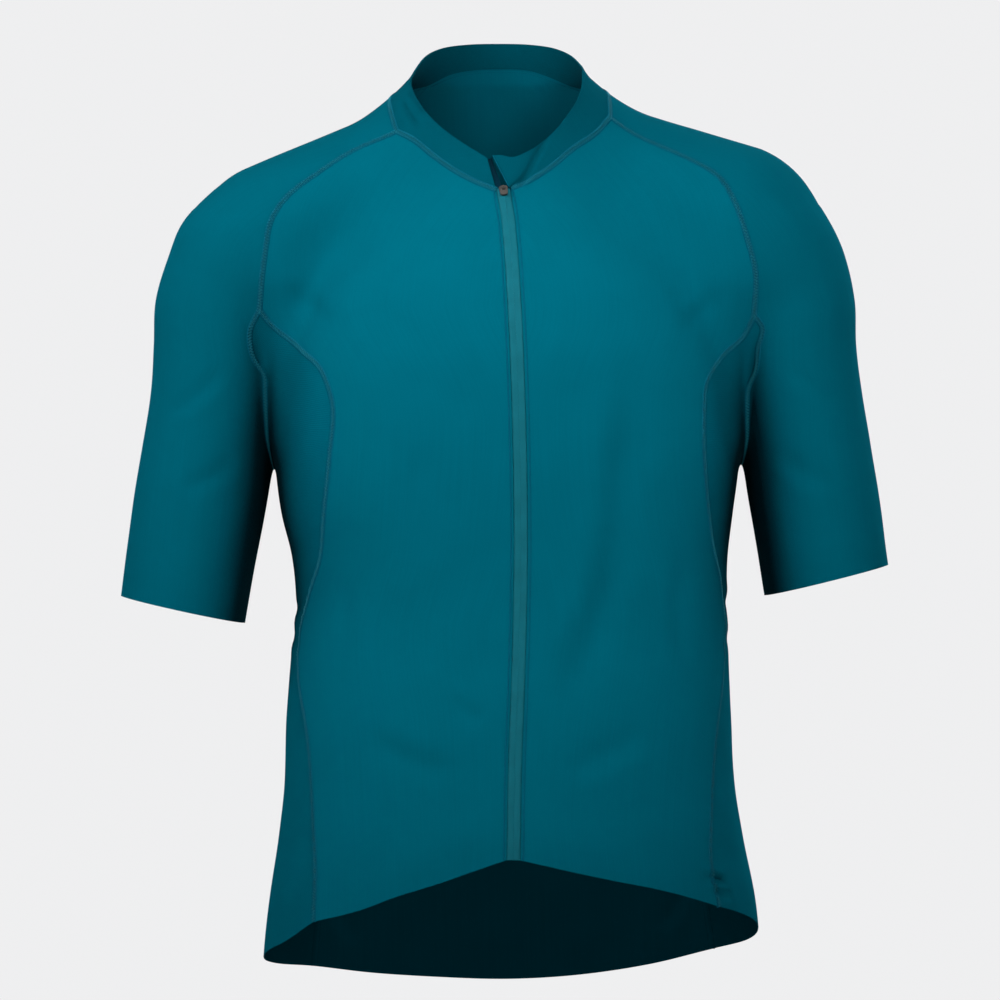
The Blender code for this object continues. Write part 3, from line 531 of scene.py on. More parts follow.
def patch(
    first: Array,
    last: Array,
    left: Array,
    right: Array,
    first_reach: float = 1.0,
    last_reach: float = 1.0,
) -> Array:
    """Spans a grid of points between four edges.

    Args:
        first: the first row's points, from left to right.
        last: the last row's points, from left to right.
        left: the first column's points, from the first row to the last.
        right: the last column's points, from the first row to the last.
        first_reach: the share of the rows over which the first row's own bend fades out.
        last_reach: the share of the rows over which the last row's own bend fades in.
    Returns:
        The grid, column by column.
    """
    across = np.linspace(0, 1, len(first))[:, None, None]
    down = np.linspace(0, 1, len(left))[None, :, None]
    columns = (1 - across) * left[None] + across * right[None]
    first_bend = first[:, None] - (1 - across) * first[0] - across * first[-1]
    last_bend = last[:, None] - (1 - across) * last[0] - across * last[-1]
    fade = np.maximum(1 - down / first_reach, 0)
    rise = np.maximum(1 - (1 - down) / last_reach, 0)
    return columns + fade * first_bend + rise * last_bend


def refined(grid: Array, factor: int) -> Array:
    """Cuts each cell of a grid into smaller ones, on smooth curves.

    Args:
        grid: the coarse grid.
        factor: how many cells each cell becomes, both ways.
    Returns:
        The fine grid.
    """
    for axis in (0, 1):
        rows = np.moveaxis(grid, axis, 0)
        slope = np.gradient(rows, axis=0)
        t = (np.arange(factor) / factor)[None, :, None, None]
        dense = hermite(rows[:-1, None], rows[1:, None], slope[:-1, None], slope[1:, None], t)
        dense = dense.reshape(-1, *rows.shape[1:])
        grid = np.moveaxis(np.concatenate([dense, rows[-1:]]), 0, axis)
    return grid


def edged(grid: Array, first: Array, last: Array, left: Array, right: Array) -> Array:
    """Draws a refined grid's edges onto their seams.

    Args:
        grid: the refined grid.
        first: the seam of the first row.
        last: the seam of the last row.
        left: the seam of the first column.
        right: the seam of the last column.
    Returns:
        The new grid, in which the change fades out over one coarse cell.
    """
    grid = grid.copy()
    fade = np.maximum(1 - np.arange(max(grid.shape[:2])) / FINE, 0)[:, None]
    for flip, low, high in ((False, left, right), (True, first, last)):
        view = grid.transpose(1, 0, 2) if flip else grid
        for edge, step in ((low, 1), (high, -1)):
            change = edge - view[::step][0]
            for k in range(FINE):
                view[::step][k] += fade[k] * change
    return grid


@dataclass
class Grids:
    """Makes the panels' grids on the figure, coarse first and then refined."""

    figure: Figure
    relax_rounds: int = 40
    even_rounds: int = 12

    @staticmethod
    def pull(grid: Array) -> Array:
        """Returns how far each inner point's neighbours, on the average, lie from it."""
        around = grid[:-2, 1:-1] + grid[2:, 1:-1] + grid[1:-1, :-2] + grid[1:-1, 2:]
        return around / 4 - grid[1:-1, 1:-1]

    def relaxed(self, grid: Array) -> Array:
        """Sets a grid on the figure and evens it there as it was planned.

        Args:
            grid: the planned points; those on its edges stay.
        Returns:
            The new grid.
        """
        settle = self.figure.settle
        planned = self.pull(grid)
        grid = grid.copy()
        grid[1:-1, 1:-1] = settle(grid[1:-1, 1:-1])
        for _ in range(self.relax_rounds):
            moved = grid[1:-1, 1:-1] + (self.pull(grid) - planned) / 2
            grid[1:-1, 1:-1] = settle(moved, 1)
        return grid

    def evenly_rowed(self, grid: Array, share: float) -> Array:
        """Sets a grid on the figure, with the points of each row evenly spaced along that row.

        Args:
            grid: the planned points; those on its edges stay.
            share: how far each point goes to the middle of the rows beside it, each round.
        Returns:
            The new grid.
        """
        settle = self.figure.settle
        grid = grid.copy()
        count = len(grid) - 1
        grid[1:-1, 1:-1] = settle(grid[1:-1, 1:-1])
        for _ in range(self.even_rounds):
            for row in range(1, grid.shape[1] - 1):
                grid[1:-1, row] = stations(grid[:, row], count)[1:-1]
            between = (grid[1:-1, :-2] + grid[1:-1, 2:]) / 2
            grid[1:-1, 1:-1] = settle((1 - share) * grid[1:-1, 1:-1] + share * between, 2)
        return grid

    def fine(self, grid: Array, first: Array, last: Array, left: Array, right: Array) -> Array:
        """Refines a coarse grid between its fine edges and sets it on the figure.

        Args:
            grid: the coarse grid.
            first: the seam of the first row.
            last: the seam of the last row.
            left: the seam of the first column.
            right: the seam of the last column.
        Returns:
            The fine grid.
        """
        dense = edged(refined(grid, FINE), first, last, left, right)
        dense[1:-1, 1:-1] = self.figure.settle(dense[1:-1, 1:-1], 3)
        return dense


@dataclass
class Pattern:
    """The seams and edges that the panels share, as fine rows of points on the figure."""

    figure: Figure
    zip_half_width: float = 5.4
    # the level at which the zip's rows go over from those of the raglan seam to the side's
    zip_row_break: float = -150.0
    # the levels where an armhole seam starts to bend into the crease and where it's in it
    crease_high: float = -196.0
    crease_low: float = -220.0
    rows: dict[str, Array] = field(default_factory=dict)

    ZIP_LINE = [
        (-2.2, -83, -60), (1.4, -93, -83), (3, -101, -100), (6, -116, -146), (9.6, -119, -236),
        (11, -110, -327), (9, -104, -432), (6.7, -107, -493), (5.5, -112, -568),
    ]
    CORNERS = {
        "right": {
            "neck_front": (-84, -47, -13),
            "neck_back": (-74, 40, 38),
            "panel_front": (-189, -51, -149),
            "panel_back": (-186, 62, -150),
            "underarm": (-180, 0, -281),
            "hem_front": (-147, -76, -618),
            "hem_back": (-155, 82, -668),
        },
        "left": {
            "neck_front": (80, -36, -1),
            "neck_back": (66, 40, 37),
            "panel_front": (190, -53, -154),
            "panel_back": (190, 62, -150),
            "underarm": (186, 0, -264),
            "hem_front": (163, -70, -607),
            "hem_back": (167, 80, -654),
        },
    }
    GUIDES = {
        "right": {
            "collar_front": [(-25, -79, -53), (-39, -74, -45), (-58, -64, -31), (-71, -56, -20)],
            "collar_side": [(-89, -35, 3), (-90, -11, 17), (-87, 15, 29)],
            "raglan_front": [
                (-113, -41, -25), (-145, -48, -45), (-168, -55, -63), (-180, -60, -82), (-184, -62, -104),
                (-187, -57, -130),
            ],
            "raglan_back": [(-105, 52, 12), (-138, 62, -22), (-165, 68, -62), (-178, 68, -100)],
            "armhole_front": [
                (-197, -52, -168), (-195, -47, -187), (-187, -38, -200), (-183, -30, -222),
                (-178, -33, -242), (-176, -30, -260),
            ],
            "armhole_back": [(-190, 50, -185), (-186, 40, -220), (-181, 26, -255)],
            "side_front": [
                (-182, -53, -160), (-158, -64, -180), (-141, -85, -197), (-132, -92, -222),
                (-134, -88, -263), (-139, -76, -312), (-143, -65, -343), (-152, -48, -370),
                (-159, -34, -398), (-159, -38, -428), (-154, -55, -470), (-149, -66, -532),
                (-146, -74, -583),
            ],
            "side_back": [
                (-162, 84, -178), (-146, 94, -205), (-140, 97, -240), (-143, 90, -290), (-150, 74, -345),
                (-160, 42, -392), (-161, 38, -420), (-155, 57, -465), (-150, 72, -520), (-150, 82, -590),
            ],
            "hem_front": [(-26, -112, -577), (-54, -109, -587), (-82, -104, -596), (-110, -96, -607)],
            "hem_side": [(-169, -57, -634), (-184, -31, -644), (-190, 0, -653), (-184, 45, -662)],
        },
        "left": {
            "collar_front": [(14, -80, -55), (30, -74, -45), (54, -59, -25), (67, -51, -16)],
            "collar_side": [(80, -24, 12), (79, -8, 20), (76, 15, 29)],
            "raglan_front": [
                (119, -39, -23), (140, -44, -33), (164, -52, -49), (176, -62, -70), (184, -65, -95),
                (190, -63, -119),
            ],
            "raglan_back": [(100, 54, 16), (138, 66, -16), (166, 72, -56), (182, 72, -98)],
            "armhole_front": [
                (197, -53, -164), (194, -49, -180), (193, -47, -192), (188, -39, -213), (184, -29, -235),
                (184, -24, -252),
            ],
            "armhole_back": [(194, 50, -183), (190, 38, -218), (186, 24, -250)],
            "side_front": [
                (180, -46, -167), (164, -58, -187), (154, -74, -205), (151, -78, -238), (153, -73, -281),
                (158, -58, -324), (166, -36, -364), (169, -27, -390), (167, -34, -430), (161, -50, -480),
                (158, -62, -530), (157, -71, -576),
            ],
            "side_back": [
                (166, 84, -180), (152, 94, -207), (148, 97, -240), (150, 90, -290), (156, 74, -345),
                (167, 42, -390), (168, 38, -418), (162, 57, -465), (158, 72, -520), (160, 82, -580),
            ],
            "hem_front": [(45, -111, -576), (81, -106, -584), (121, -94, -593), (141, -85, -599)],
            "hem_side": [(180, -53, -613), (193, -28, -621), (198, 0, -630), (192, 42, -643)],
        },
    }
    COLLAR_BACK = [(-52, 57, 43), (-28, 66, 45), (-4, 69, 46), (22, 66, 45), (46, 57, 42)]
    HEM_BACK = [(-110, 106, -676), (-55, 117, -681), (4, 120, -683), (62, 118, -679), (118, 108, -669)]

    # seam, its first and last corner, and its coarse cells
    SPANS = [
        ("collar_side", "neck_front", "neck_back", SLEEVE_COLUMNS),
        ("raglan_front", "neck_front", "panel_front", RAGLAN_ROWS),
        ("raglan_back", "neck_back", "panel_back", RAGLAN_ROWS),
        ("armhole_front", "panel_front", "underarm", ARMHOLE_ROWS),
        ("armhole_back", "panel_back", "underarm", ARMHOLE_ROWS),
        ("side_front", "panel_front", "hem_front", SIDE_ROWS),
        ("side_back", "panel_back", "hem_back", SIDE_ROWS),
        ("hem_side", "hem_front", "hem_back", 2 * ARMHOLE_ROWS),
    ]

    def __post_init__(self) -> None:
        """Lays every seam."""
        self.rows["zip_middle"] = self.zip_rows(0)
        for name, side in SIDES.items():
            self.rows[f"zip_edge_{name}"] = self.zip_rows(side)
            self.lay_side(name, side)
        for seam_name, guide, corner in (
            ("collar_back", self.COLLAR_BACK, "neck_back"),
            ("hem_back", self.HEM_BACK, "hem_back"),
        ):
            ends = [self.CORNERS[name][corner] for name in SIDES]
            self.rows[seam_name] = self.seam([ends[0], *guide, ends[1]], BACK_COLUMNS)

    def __getitem__(self, name: str) -> Array:
        """Returns a seam's fine row of points."""
        return self.rows[name]

    def sewn_rows(self) -> list[Array]:
        """Returns the rows that are sewn and draw the cloth in, thinned to every other point."""
        names = ("raglan_front", "raglan_back", "side_front", "side_back", "zip_edge")
        return [self.rows[f"{name}_{side}"][::2] for name in names for side in SIDES]

    def seam(self, points: Points, count: int) -> Array:
        """Lays a seam on the figure.

        Args:
            points: the points that guide it.
            count: the number of coarse cells along it.
        Returns:
            Its evenly spaced points, FINE for each cell and one more.
        """
        settle = self.figure.settle
        curve = settle(spline(settle(points)))
        return settle(stations(curve, count * FINE), 4)

    def zip_rows(self, side: int) -> Array:
        """Lays a row of points along the zip.

        Args:
            side: 0 for its middle, -1 for its right edge, 1 for its left one.
        Returns:
            The row's points, from the top down.
        """
        settle = self.figure.settle
        middle = settle(spline(settle(self.ZIP_LINE)))
        upper = middle[middle[:, 2] >= self.zip_row_break]
        lower = np.concatenate([upper[-1:], middle[middle[:, 2] <= self.zip_row_break]])
        rows = run(stations(upper, RAGLAN_ROWS * FINE), stations(lower, SIDE_ROWS * FINE))
        across = unit(np.cross(self.figure.outwards(rows), np.gradient(rows, axis=0)))
        return settle(rows + side * self.zip_half_width * across * np.sign(across[:, :1]), 4)

    def lay_side(self, name: str, side: int) -> None:
        """Lays the seams of one half of the garment.

        Args:
            name: right or left.
            side: -1 or 1 for it.
        """
        guides, corners = self.GUIDES[name], self.CORNERS[name]
        for seam_name, first, last, count in self.SPANS:
            points = [corners[first], *guides[seam_name], corners[last]]
            row = self.seam(points, count)
            if seam_name.startswith("armhole"):
                row = self.figure.into_crease(row, side, self.crease_high, self.crease_low)
            self.rows[f"{seam_name}_{name}"] = row
        pit = self.rows[f"armhole_front_{name}"][-1]
        self.rows[f"armhole_back_{name}"][-1] = pit
        edge = self.rows[f"zip_edge_{name}"]
        for seam_name, start, end in (
            ("collar_front", edge[0], corners["neck_front"]),
            ("hem_front", edge[-1], corners["hem_front"]),
        ):
            points = [start, *guides[seam_name], end]
            self.rows[f"{seam_name}_{name}"] = self.seam(points, FRONT_COLUMNS)


@dataclass(frozen=True)
class Fold:
    """A soft crease of the cloth: a trough along a guide, with a ridge beside it."""

    guide: Points
    depth: float
    reach: float
    ridge: float = 0.5
    ridge_side: int = 1
    ends: float = 0.3


@dataclass(frozen=True)
class Pucker:
    """Small uneven gathers of the cloth beside a sewn seam."""

    depth: float = 0.28
    pitch: float = 9.5
    reach: float = 5.5
    # how far the gathers' places wander, in radians of their wave, and the length of a radian
    wander: float = 1.9
    wander_pitch: float = 31.0
    # the steady share of their depth and the one that comes and goes, the length of a radian of
    # that, and how many radians later the next seam starts
    steady: float = 0.55
    swell: float = 0.45
    swell_pitch: float = 47.0
    swell_start: float = 2.3


@dataclass
class Drape:
    """How far the cloth stands off the figure, from its folds and its small unevenness."""

    figure: Figure
    folds: Sequence[Fold]
    sewn: Sequence[Array]
    pucker: Pucker = Pucker()
    ripple: float = 0.3
    fold_spans: int = 28
    # how far off a fold and a seam's gathers still count, in their own reaches
    fold_span_reach: float = 4.5
    pucker_span_reach: float = 2.5
    # where a fold's ridge lies and how far from its trough it fades, in its own reaches
    ridge_at: float = 1.7
    ridge_fade: float = 3.0
    # the length at each end of a seam over which its gathers fade
    pucker_ends: float = 12.0
    chunk: int = 4000

    # a wave's radians per millimetre along x, y and z, its start and its share of the ripple
    WAVES = [
        (0.031, 0.017, 0.023, 0.4, 0.8),
        (-0.019, 0.041, 0.037, 1.9, 0.6),
        (0.067, -0.029, 0.052, 3.1, 0.35),
        (-0.058, -0.073, 0.081, 5.0, 0.25),
        (0.16, 0.05, -0.09, 2.2, 0.07),
        (-0.07, 0.13, 0.17, 0.9, 0.06),
    ]

    def __post_init__(self) -> None:
        """Lays each fold's guide on the figure."""
        settle = self.figure.settle
        self.lines = [settle(stations(spline(settle(fold.guide)), self.fold_spans)) for fold in self.folds]
        self.normals = [self.figure.outwards(line) for line in self.lines]

    def rise(self, points: Array) -> Array:
        """Works out how far outwards from the figure the cloth is.

        Args:
            points: points of the figure, in an array of any shape.
        Returns:
            The distance at each point.
        """
        p = points.reshape(-1, 3)
        total = self.unevenness(p)
        for fold, line, normals in zip(self.folds, self.lines, self.normals):
            for near in self.close_to(p, line, self.fold_span_reach * fold.reach):
                total[near] += self.one_fold(p[near], fold, line, normals)
        for seam_number, line in enumerate(self.sewn):
            for near in self.close_to(p, line, self.pucker_span_reach * self.pucker.reach):
                total[near] += self.gathers(p[near], line, seam_number)
        return total.reshape(points.shape[:-1])

    def unevenness(self, p: Array) -> Array:
        """Works out a small wandering rise that no two places share.

        Args:
            p: the points.
        Returns:
            The rise at each point.
        """
        total = np.zeros(len(p))
        for x, y, z, phase, size in self.WAVES:
            total += size * np.sin(x * p[:, 0] + y * p[:, 1] + z * p[:, 2] + phase)
        return self.ripple * total

    def close_to(self, p: Array, line: Array, reach: float) -> list[Array]:
        """Finds the points in a line's box.

        Args:
            p: the points.
            line: the line's points.
            reach: how much wider the box is on each side.
        Returns:
            The numbers of the points in it, in small sets.
        """
        low, high = line.min(0) - reach, line.max(0) + reach
        near = np.flatnonzero(((p > low) & (p < high)).all(1))
        return [near[k : k + self.chunk] for k in range(0, len(near), self.chunk)]

    @staticmethod
    def nearest(p: Array, line: Array) -> tuple[Array, Array, Array, Array]:
        """Returns how each point lies to a line.

        Args:
            p: the points.
            line: the line's points.
        Returns:
            The distances, the nearest spans' numbers, the shares along them and the offsets.
        """
        start, span = line[:-1], np.diff(line, axis=0)
        off = p[:, None] - start[None]
        t = np.clip((off * span).sum(2) / (span * span).sum(1), 0, 1)
        gap = off - t[..., None] * span
        distance = np.linalg.norm(gap, axis=2)
        at = distance.argmin(1)
        pick = np.arange(len(p))
        return distance[pick, at], at, t[pick, at], gap[pick, at]

    def one_fold(self, p: Array, fold: Fold, line: Array, normals: Array) -> Array:
        """Works out the rise that one fold gives.

        Args:
            p: the points.
            fold: the fold's sizes.
            line: the points of its guide.
            normals: the direction outwards at each of those.
        Returns:
            The rise at each point.
        """
        distance, at, t, gap = self.nearest(p, line)
        span = np.diff(line, axis=0)
        share = (at + t) / len(span)
        side = unit(np.cross(normals[at], span[at]))
        beside = (gap * side).sum(1) * fold.ridge_side
        fade = ease(share, 0, fold.ends) * ease(1 - share, 0, fold.ends)
        trough = -np.exp(-((distance / fold.reach) ** 2))
        crest = fold.ridge * np.exp(-(((beside - self.ridge_at * fold.reach) / fold.reach) ** 2))
        crest = crest * np.exp(-((distance / (self.ridge_fade * fold.reach)) ** 2))
        return fold.depth * fade * (trough + crest)

    def gathers(self, p: Array, line: Array, seam_number: int) -> Array:
        """Works out the rise that a seam's gathers give.

        Args:
            p: the points.
            line: the seam's points.
            seam_number: its number, which sets how its gathers wander.
        Returns:
            The rise at each point.
        """
        distance, at, t, _ = self.nearest(p, line)
        along = lengths(line)
        place = along[at] + t * (along[at + 1] - along[at])
        pucker = self.pucker
        wander = pucker.wander * np.sin(place / pucker.wander_pitch + seam_number)
        turn = 2 * math.pi * place / pucker.pitch + wander
        swell = np.sin(place / pucker.swell_pitch + pucker.swell_start * seam_number)
        strength = pucker.steady + pucker.swell * swell
        ends = ease(place, 0, self.pucker_ends) * ease(along[-1] - place, 0, self.pucker_ends)
        fade = np.exp(-((distance / pucker.reach) ** 2))
        return pucker.depth * strength * ends * np.sin(turn) * fade


class Nodes:
    """Writes a material's node tree in few words."""

    def __init__(self, name: str) -> None:
        """Starts a Principled material.

        Args:
            name: the material's name.
        """
        self.material = bpy.data.materials.new(name)
        self.material.use_nodes = True
        self.tree = self.material.node_tree
        self.shader = self.tree.nodes["Principled BSDF"]

    def add(self, kind: str, **values: str | int) -> bpy.types.Node:
        """Adds a node.

        Args:
            kind: the node's type.
            values: its properties.
        Returns:
            The node.
        """
        node = self.tree.nodes.new(kind)
        for key, value in values.items():
            setattr(node, key, value)
        return node

    def link(self, source: Socket, target: Socket) -> None:
        """Links an output socket to an input socket."""
        self.tree.links.new(source, target)

    def feed(self, node: bpy.types.Node, key: int | str, value: Value | Colour) -> None:
        """Gives one of a node's inputs a socket to read, a number or a colour.

        Args:
            node: the node.
            key: the input's number or name.
            value: what it gets.
        """
        if isinstance(value, Socket):
            self.link(value, node.inputs[key])
        else:
            node.inputs[key].default_value = (*value, 1.0) if isinstance(value, tuple) else value

    def surface(self, colour: Socket, roughness: Socket, normal: Socket) -> None:
        """Links the surface's colour, roughness and normal to the shader."""
        for key, source in (("Base Color", colour), ("Roughness", roughness), ("Normal", normal)):
            self.link(source, self.shader.inputs[key])

    def math(self, operation: str, *values: Value) -> Socket:
        """Adds a Math node.

        Args:
            operation: what it does.
            values: the sockets or numbers that it does it to.
        Returns:
            Its output.
        """
        node = self.add("ShaderNodeMath", operation=operation)
        for slot, value in enumerate(values):
            self.feed(node, slot, value)
        return node.outputs[0]

    def cloth_axes(self) -> tuple[Socket, Socket, Socket]:
        """Adds the cloth's own coordinates, in metres along its width and its length.

        Returns:
            Both as a vector, and each alone.
        """
        source = self.add("ShaderNodeUVMap", uv_map=UV_NAME)
        split = self.add("ShaderNodeSeparateXYZ")
        self.link(source.outputs["UV"], split.inputs[0])
        return source.outputs["UV"], split.outputs["X"], split.outputs["Y"]

    def noise(self, vector: Socket, scale: float, detail: float = 2.0) -> Socket:
        """Adds a noise.

        Args:
            vector: where it's read.
            scale: how fine it is.
            detail: how many finer layers it has.
        Returns:
            Its factor.
        """
        node = self.add("ShaderNodeTexNoise")
        for key, value in (("Scale", scale), ("Detail", detail), ("Vector", vector)):
            self.feed(node, key, value)
        return node.outputs["Fac"]

    def stretched(self, u: Socket, v: Socket, across: float, along: float) -> Socket:
        """Scales the cloth's coordinates differently each way.

        Args:
            u: the coordinate along the width.
            v: the coordinate along the length.
            across: the scale of the first.
            along: the scale of the second.
        Returns:
            Both as a vector.
        """
        node = self.add("ShaderNodeCombineXYZ")
        self.link(self.math("MULTIPLY", u, across), node.inputs["X"])
        self.link(self.math("MULTIPLY", v, along), node.inputs["Y"])
        return node.outputs["Vector"]

    def mixed(self, *parts: tuple[Socket, float]) -> Socket:
        """Adds factors up.

        Args:
            parts: each factor and its share.
        Returns:
            The sum.
        """
        total = 0.0
        for factor, share in parts:
            total = self.math("MULTIPLY_ADD", factor, share, total)
        return total

    def wave(self, x: Socket, pitch: float) -> Socket:
        """Returns a sine between 0 and 1 with the given pitch in metres."""
        turned = self.math("MULTIPLY", x, 2 * math.pi / pitch)
        return self.math("MULTIPLY_ADD", self.math("SINE", turned), 0.5, 0.5)

    def ramp(self, factor: Socket, *values: float) -> Socket:
        """Moves a factor from one range into another, and clamps it there.

        Args:
            factor: the factor.
            values: the first range's ends, and the second's where it isn't 0 to 1.
        Returns:
            The new factor.
        """
        node = self.add("ShaderNodeMapRange")
        for key, value in zip(("From Min", "From Max", "To Min", "To Max"), values):
            node.inputs[key].default_value = value
        self.link(factor, node.inputs["Value"])
        return node.outputs["Result"]

    def spread(self, noise: Socket, *values: float) -> Socket:
        """Spreads the usual range of a noise over 0 to 1, or over another range."""
        return self.ramp(noise, NOISE_LOW, NOISE_HIGH, *values)

    def colours(
        self, factor: Value, low: Socket | Colour, high: Socket | Colour, blend: str = "MIX"
    ) -> Socket:
        """Mixes two colours.

        Args:
            factor: how much of the second one.
            low: the first colour.
            high: the second colour.
            blend: how the second one acts on the first.
        Returns:
            The mixed colour.
        """
        node = self.add("ShaderNodeMix", data_type="RGBA", blend_type=blend)
        for key, value in (("Factor", factor), ("A", low), ("B", high)):
            self.feed(node, key, value)
        return node.outputs["Result"]

    def with_painted_shade(self, colour: Socket, closed: float, clear: float) -> Socket:
        """Paints shade into a colour: darker where other cloth close by would block the light.

        Args:
            colour: the colour in the open.
            closed: the open share of the air round a place at which it's deepest.
            clear: the open share from which it has its full colour.
        Returns:
            Returns:
                    The colour with its painted shade.
        """
        # painted shade: ambient occlusion darkens the base colour
        open_air = self.add("ShaderNodeAmbientOcclusion", samples=8)
        self.feed(open_air, "Distance", PAINTED_SHADE_REACH)
        shade = self.ramp(open_air.outputs["AO"], closed, clear, PAINTED_SHADE_DEEPEST, 1.0)
        return self.colours(1.0, colour, shade, "MULTIPLY")

    def bump(
        self, height: Socket, strength: float, distance: float, below: Optional[Socket] = None
    ) -> Socket:
        """Bumps the surface by a height.

        Args:
            height: the height's factor.
            strength: how strong the bump is.
            distance: the height of a factor of 1, in metres.
            below: the normal that it's added to, if there is one.
        Returns:
            The new normal.
        """
        node = self.add("ShaderNodeBump")
        for key, value in (("Strength", strength), ("Distance", distance), ("Height", height)):
            self.feed(node, key, value)
        if below is not None:
            self.link(below, node.inputs["Normal"])
        return node.outputs["Normal"]

    def set(self, **values: float | Colour) -> None:
        """Sets the shader's own sockets by name, with underscores for spaces."""
        for key, value in values.items():
            self.shader.inputs[key.replace("_", " ")].default_value = value


def scaled(colour: Colour, factor: float) -> Colour:
    """Returns a colour made lighter or darker."""
    return tuple(min(c * factor, 1.0) for c in colour)


class Side(Enum):
    """Which side of the cloth a finish is for."""

    FACE = "face"
    REVERSE = "reverse"


@dataclass(frozen=True)
class Knit:
    """A fine warp knit: narrow ribs of small loops, with a soft sheen; its face has shade painted where
    other cloth is close.
    """

    name: str
    colour: Colour
    rib: float = 0.00085
    course: float = 0.0007
    relief: float = 0.00012
    strength: float = 0.22
    # how much a rib falls off to its sides, how far its loops slant and how they stand out
    rib_fall: float = 3.2
    slant: float = 0.9
    loop_rise: float = 0.6
    loop_base: float = 0.5
    # the scales of the noises, and the shares of the first three in the mottle
    broad: float = 22.0
    yarn: float = 900.0
    streaks: tuple[float, float] = (620.0, 9.0)
    wrinkles: float = 90.0
    shares: tuple[float, float, float] = (0.35, 0.25, 0.4)
    wrinkle_strength: float = 0.12
    wrinkle_relief: float = 0.0006
    tones: tuple[float, float] = (0.93, 1.07)
    roughness: tuple[float, float] = (0.63, 0.74)
    sheen: float = 0.02
    # the reverse's colour as a share of the face's
    reverse_dull: float = 0.9
    # the open shares of the air at which the painted shade is deepest and at which the colour is full
    closed: float = 0.5
    clear: float = 0.95
    side: Side = Side.FACE

    def material(self) -> bpy.types.Material:
        """Makes the finish.

        Returns:
            The material.
        """
        made = Nodes(self.name)
        uv, u, v = made.cloth_axes()
        place = made.math("FRACT", made.math("DIVIDE", u, self.rib))
        bow = made.math("ABSOLUTE", made.math("SUBTRACT", place, 0.5))
        fall = made.math("MULTIPLY", made.math("MULTIPLY", bow, bow), self.rib_fall)
        rib = made.math("SUBTRACT", 1.0, fall)
        slanted = made.math("ADD", v, made.math("MULTIPLY", bow, self.course * self.slant))
        loops = made.wave(slanted, self.course)
        stand = made.math("MULTIPLY_ADD", loops, self.loop_rise, self.loop_base)
        height = made.math("MULTIPLY", rib, stand)
        yarn = made.noise(uv, self.yarn)
        streak = made.noise(made.stretched(u, v, *self.streaks), 1.0)
        mottle = made.mixed(*zip((made.noise(uv, self.broad, 3.0), yarn, streak), self.shares))
        dull = self.reverse_dull if self.side is Side.REVERSE else 1.0
        low, high = (scaled(self.colour, tone * dull) for tone in self.tones)
        colour = made.colours(made.spread(mottle), low, high)
        if self.side is Side.FACE:
            # painted shade: the face's colour darkens where other cloth is close by
            colour = made.with_painted_shade(colour, self.closed, self.clear)
        creases = made.noise(uv, self.wrinkles, 3.0)
        wrinkle = made.bump(creases, self.wrinkle_strength, self.wrinkle_relief)
        normal = made.bump(height, self.strength, self.relief, wrinkle)
        made.surface(colour, made.spread(yarn, *self.roughness), normal)
        made.set(Sheen_Weight=self.sheen, Sheen_Roughness=0.5, Sheen_Tint=(*SHINE, 1.0))
        made.set(Specular_IOR_Level=0.0, Specular_Tint=(*SHINE, 1.0))
        return made.material


@dataclass(frozen=True)
class HoleMesh:
    """A fine open mesh: staggered small holes in a thin ground, with shade painted where other cloth is
    close.
    """

    name: str
    colour: Colour
    pitch: float = 0.0016
    relief: float = 0.00025
    strength: float = 0.35
    # the depths at which a hole's colour starts and is full, and how dark it is
    hole_edge: tuple[float, float] = (0.5, 0.72)
    hole_shade: float = 0.6
    broad: float = 24.0
    yarn: float = 700.0
    tones: tuple[float, float] = (0.94, 1.06)
    roughness: tuple[float, float] = (0.61, 0.71)
    sheen: float = 0.01
    # the open shares of the air at which the painted shade is deepest and at which the colour is full
    closed: float = 0.55
    clear: float = 1.0

    def material(self) -> bpy.types.Material:
        """Makes the finish.

        Returns:
            The material.
        """
        made = Nodes(self.name)
        uv, u, v = made.cloth_axes()
        across = made.wave(made.math("ADD", u, v), self.pitch)
        along = made.wave(made.math("SUBTRACT", u, v), self.pitch)
        pit = made.math("MULTIPLY", across, along)
        low, high = (scaled(self.colour, tone) for tone in self.tones)
        ground = made.colours(made.spread(made.noise(uv, self.broad, 3.0)), low, high)
        hole = made.ramp(pit, *self.hole_edge)
        colour = made.colours(hole, ground, scaled(self.colour, self.hole_shade))
        # painted shade: the colour darkens where other cloth is close by
        colour = made.with_painted_shade(colour, self.closed, self.clear)
        normal = made.bump(made.math("SUBTRACT", 1.0, pit), self.strength, self.relief)
        made.surface(colour, made.spread(made.noise(uv, self.yarn), *self.roughness), normal)
        made.set(Sheen_Weight=self.sheen, Sheen_Roughness=0.5, Sheen_Tint=(*SHINE, 1.0))
        made.set(Specular_IOR_Level=0.0)
        return made.material


@dataclass(frozen=True)
class Thread:
    """Soft looped sewing thread, laid close."""

    name: str
    colour: Colour
    pitch: float = 0.0008
    relief: float = 0.00012
    strength: float = 0.3
    fuzz: float = 2400.0
    # the shares of the twist and of the fuzz in its shade
    shares: tuple[float, float] = (0.6, 0.4)
    tones: tuple[float, float] = (0.85, 1.15)
    roughness: tuple[float, float] = (0.5, 0.62)
    gloss: float = 0.05

    def material(self) -> bpy.types.Material:
        """Makes the finish.

        Returns:
            The material.
        """
        made = Nodes(self.name)
        uv, u, v = made.cloth_axes()
        twist = made.wave(made.math("ADD", v, u), self.pitch)
        fuzz = made.noise(uv, self.fuzz)
        shade = made.mixed(*zip((twist, fuzz), self.shares))
        low, high = (scaled(self.colour, tone) for tone in self.tones)
        colour = made.colours(shade, low, high)
        normal = made.bump(shade, self.strength, self.relief)
        made.surface(colour, made.spread(fuzz, *self.roughness), normal)
        made.set(Specular_IOR_Level=self.gloss, Specular_Tint=(*SHINE, 1.0))
        return made.material


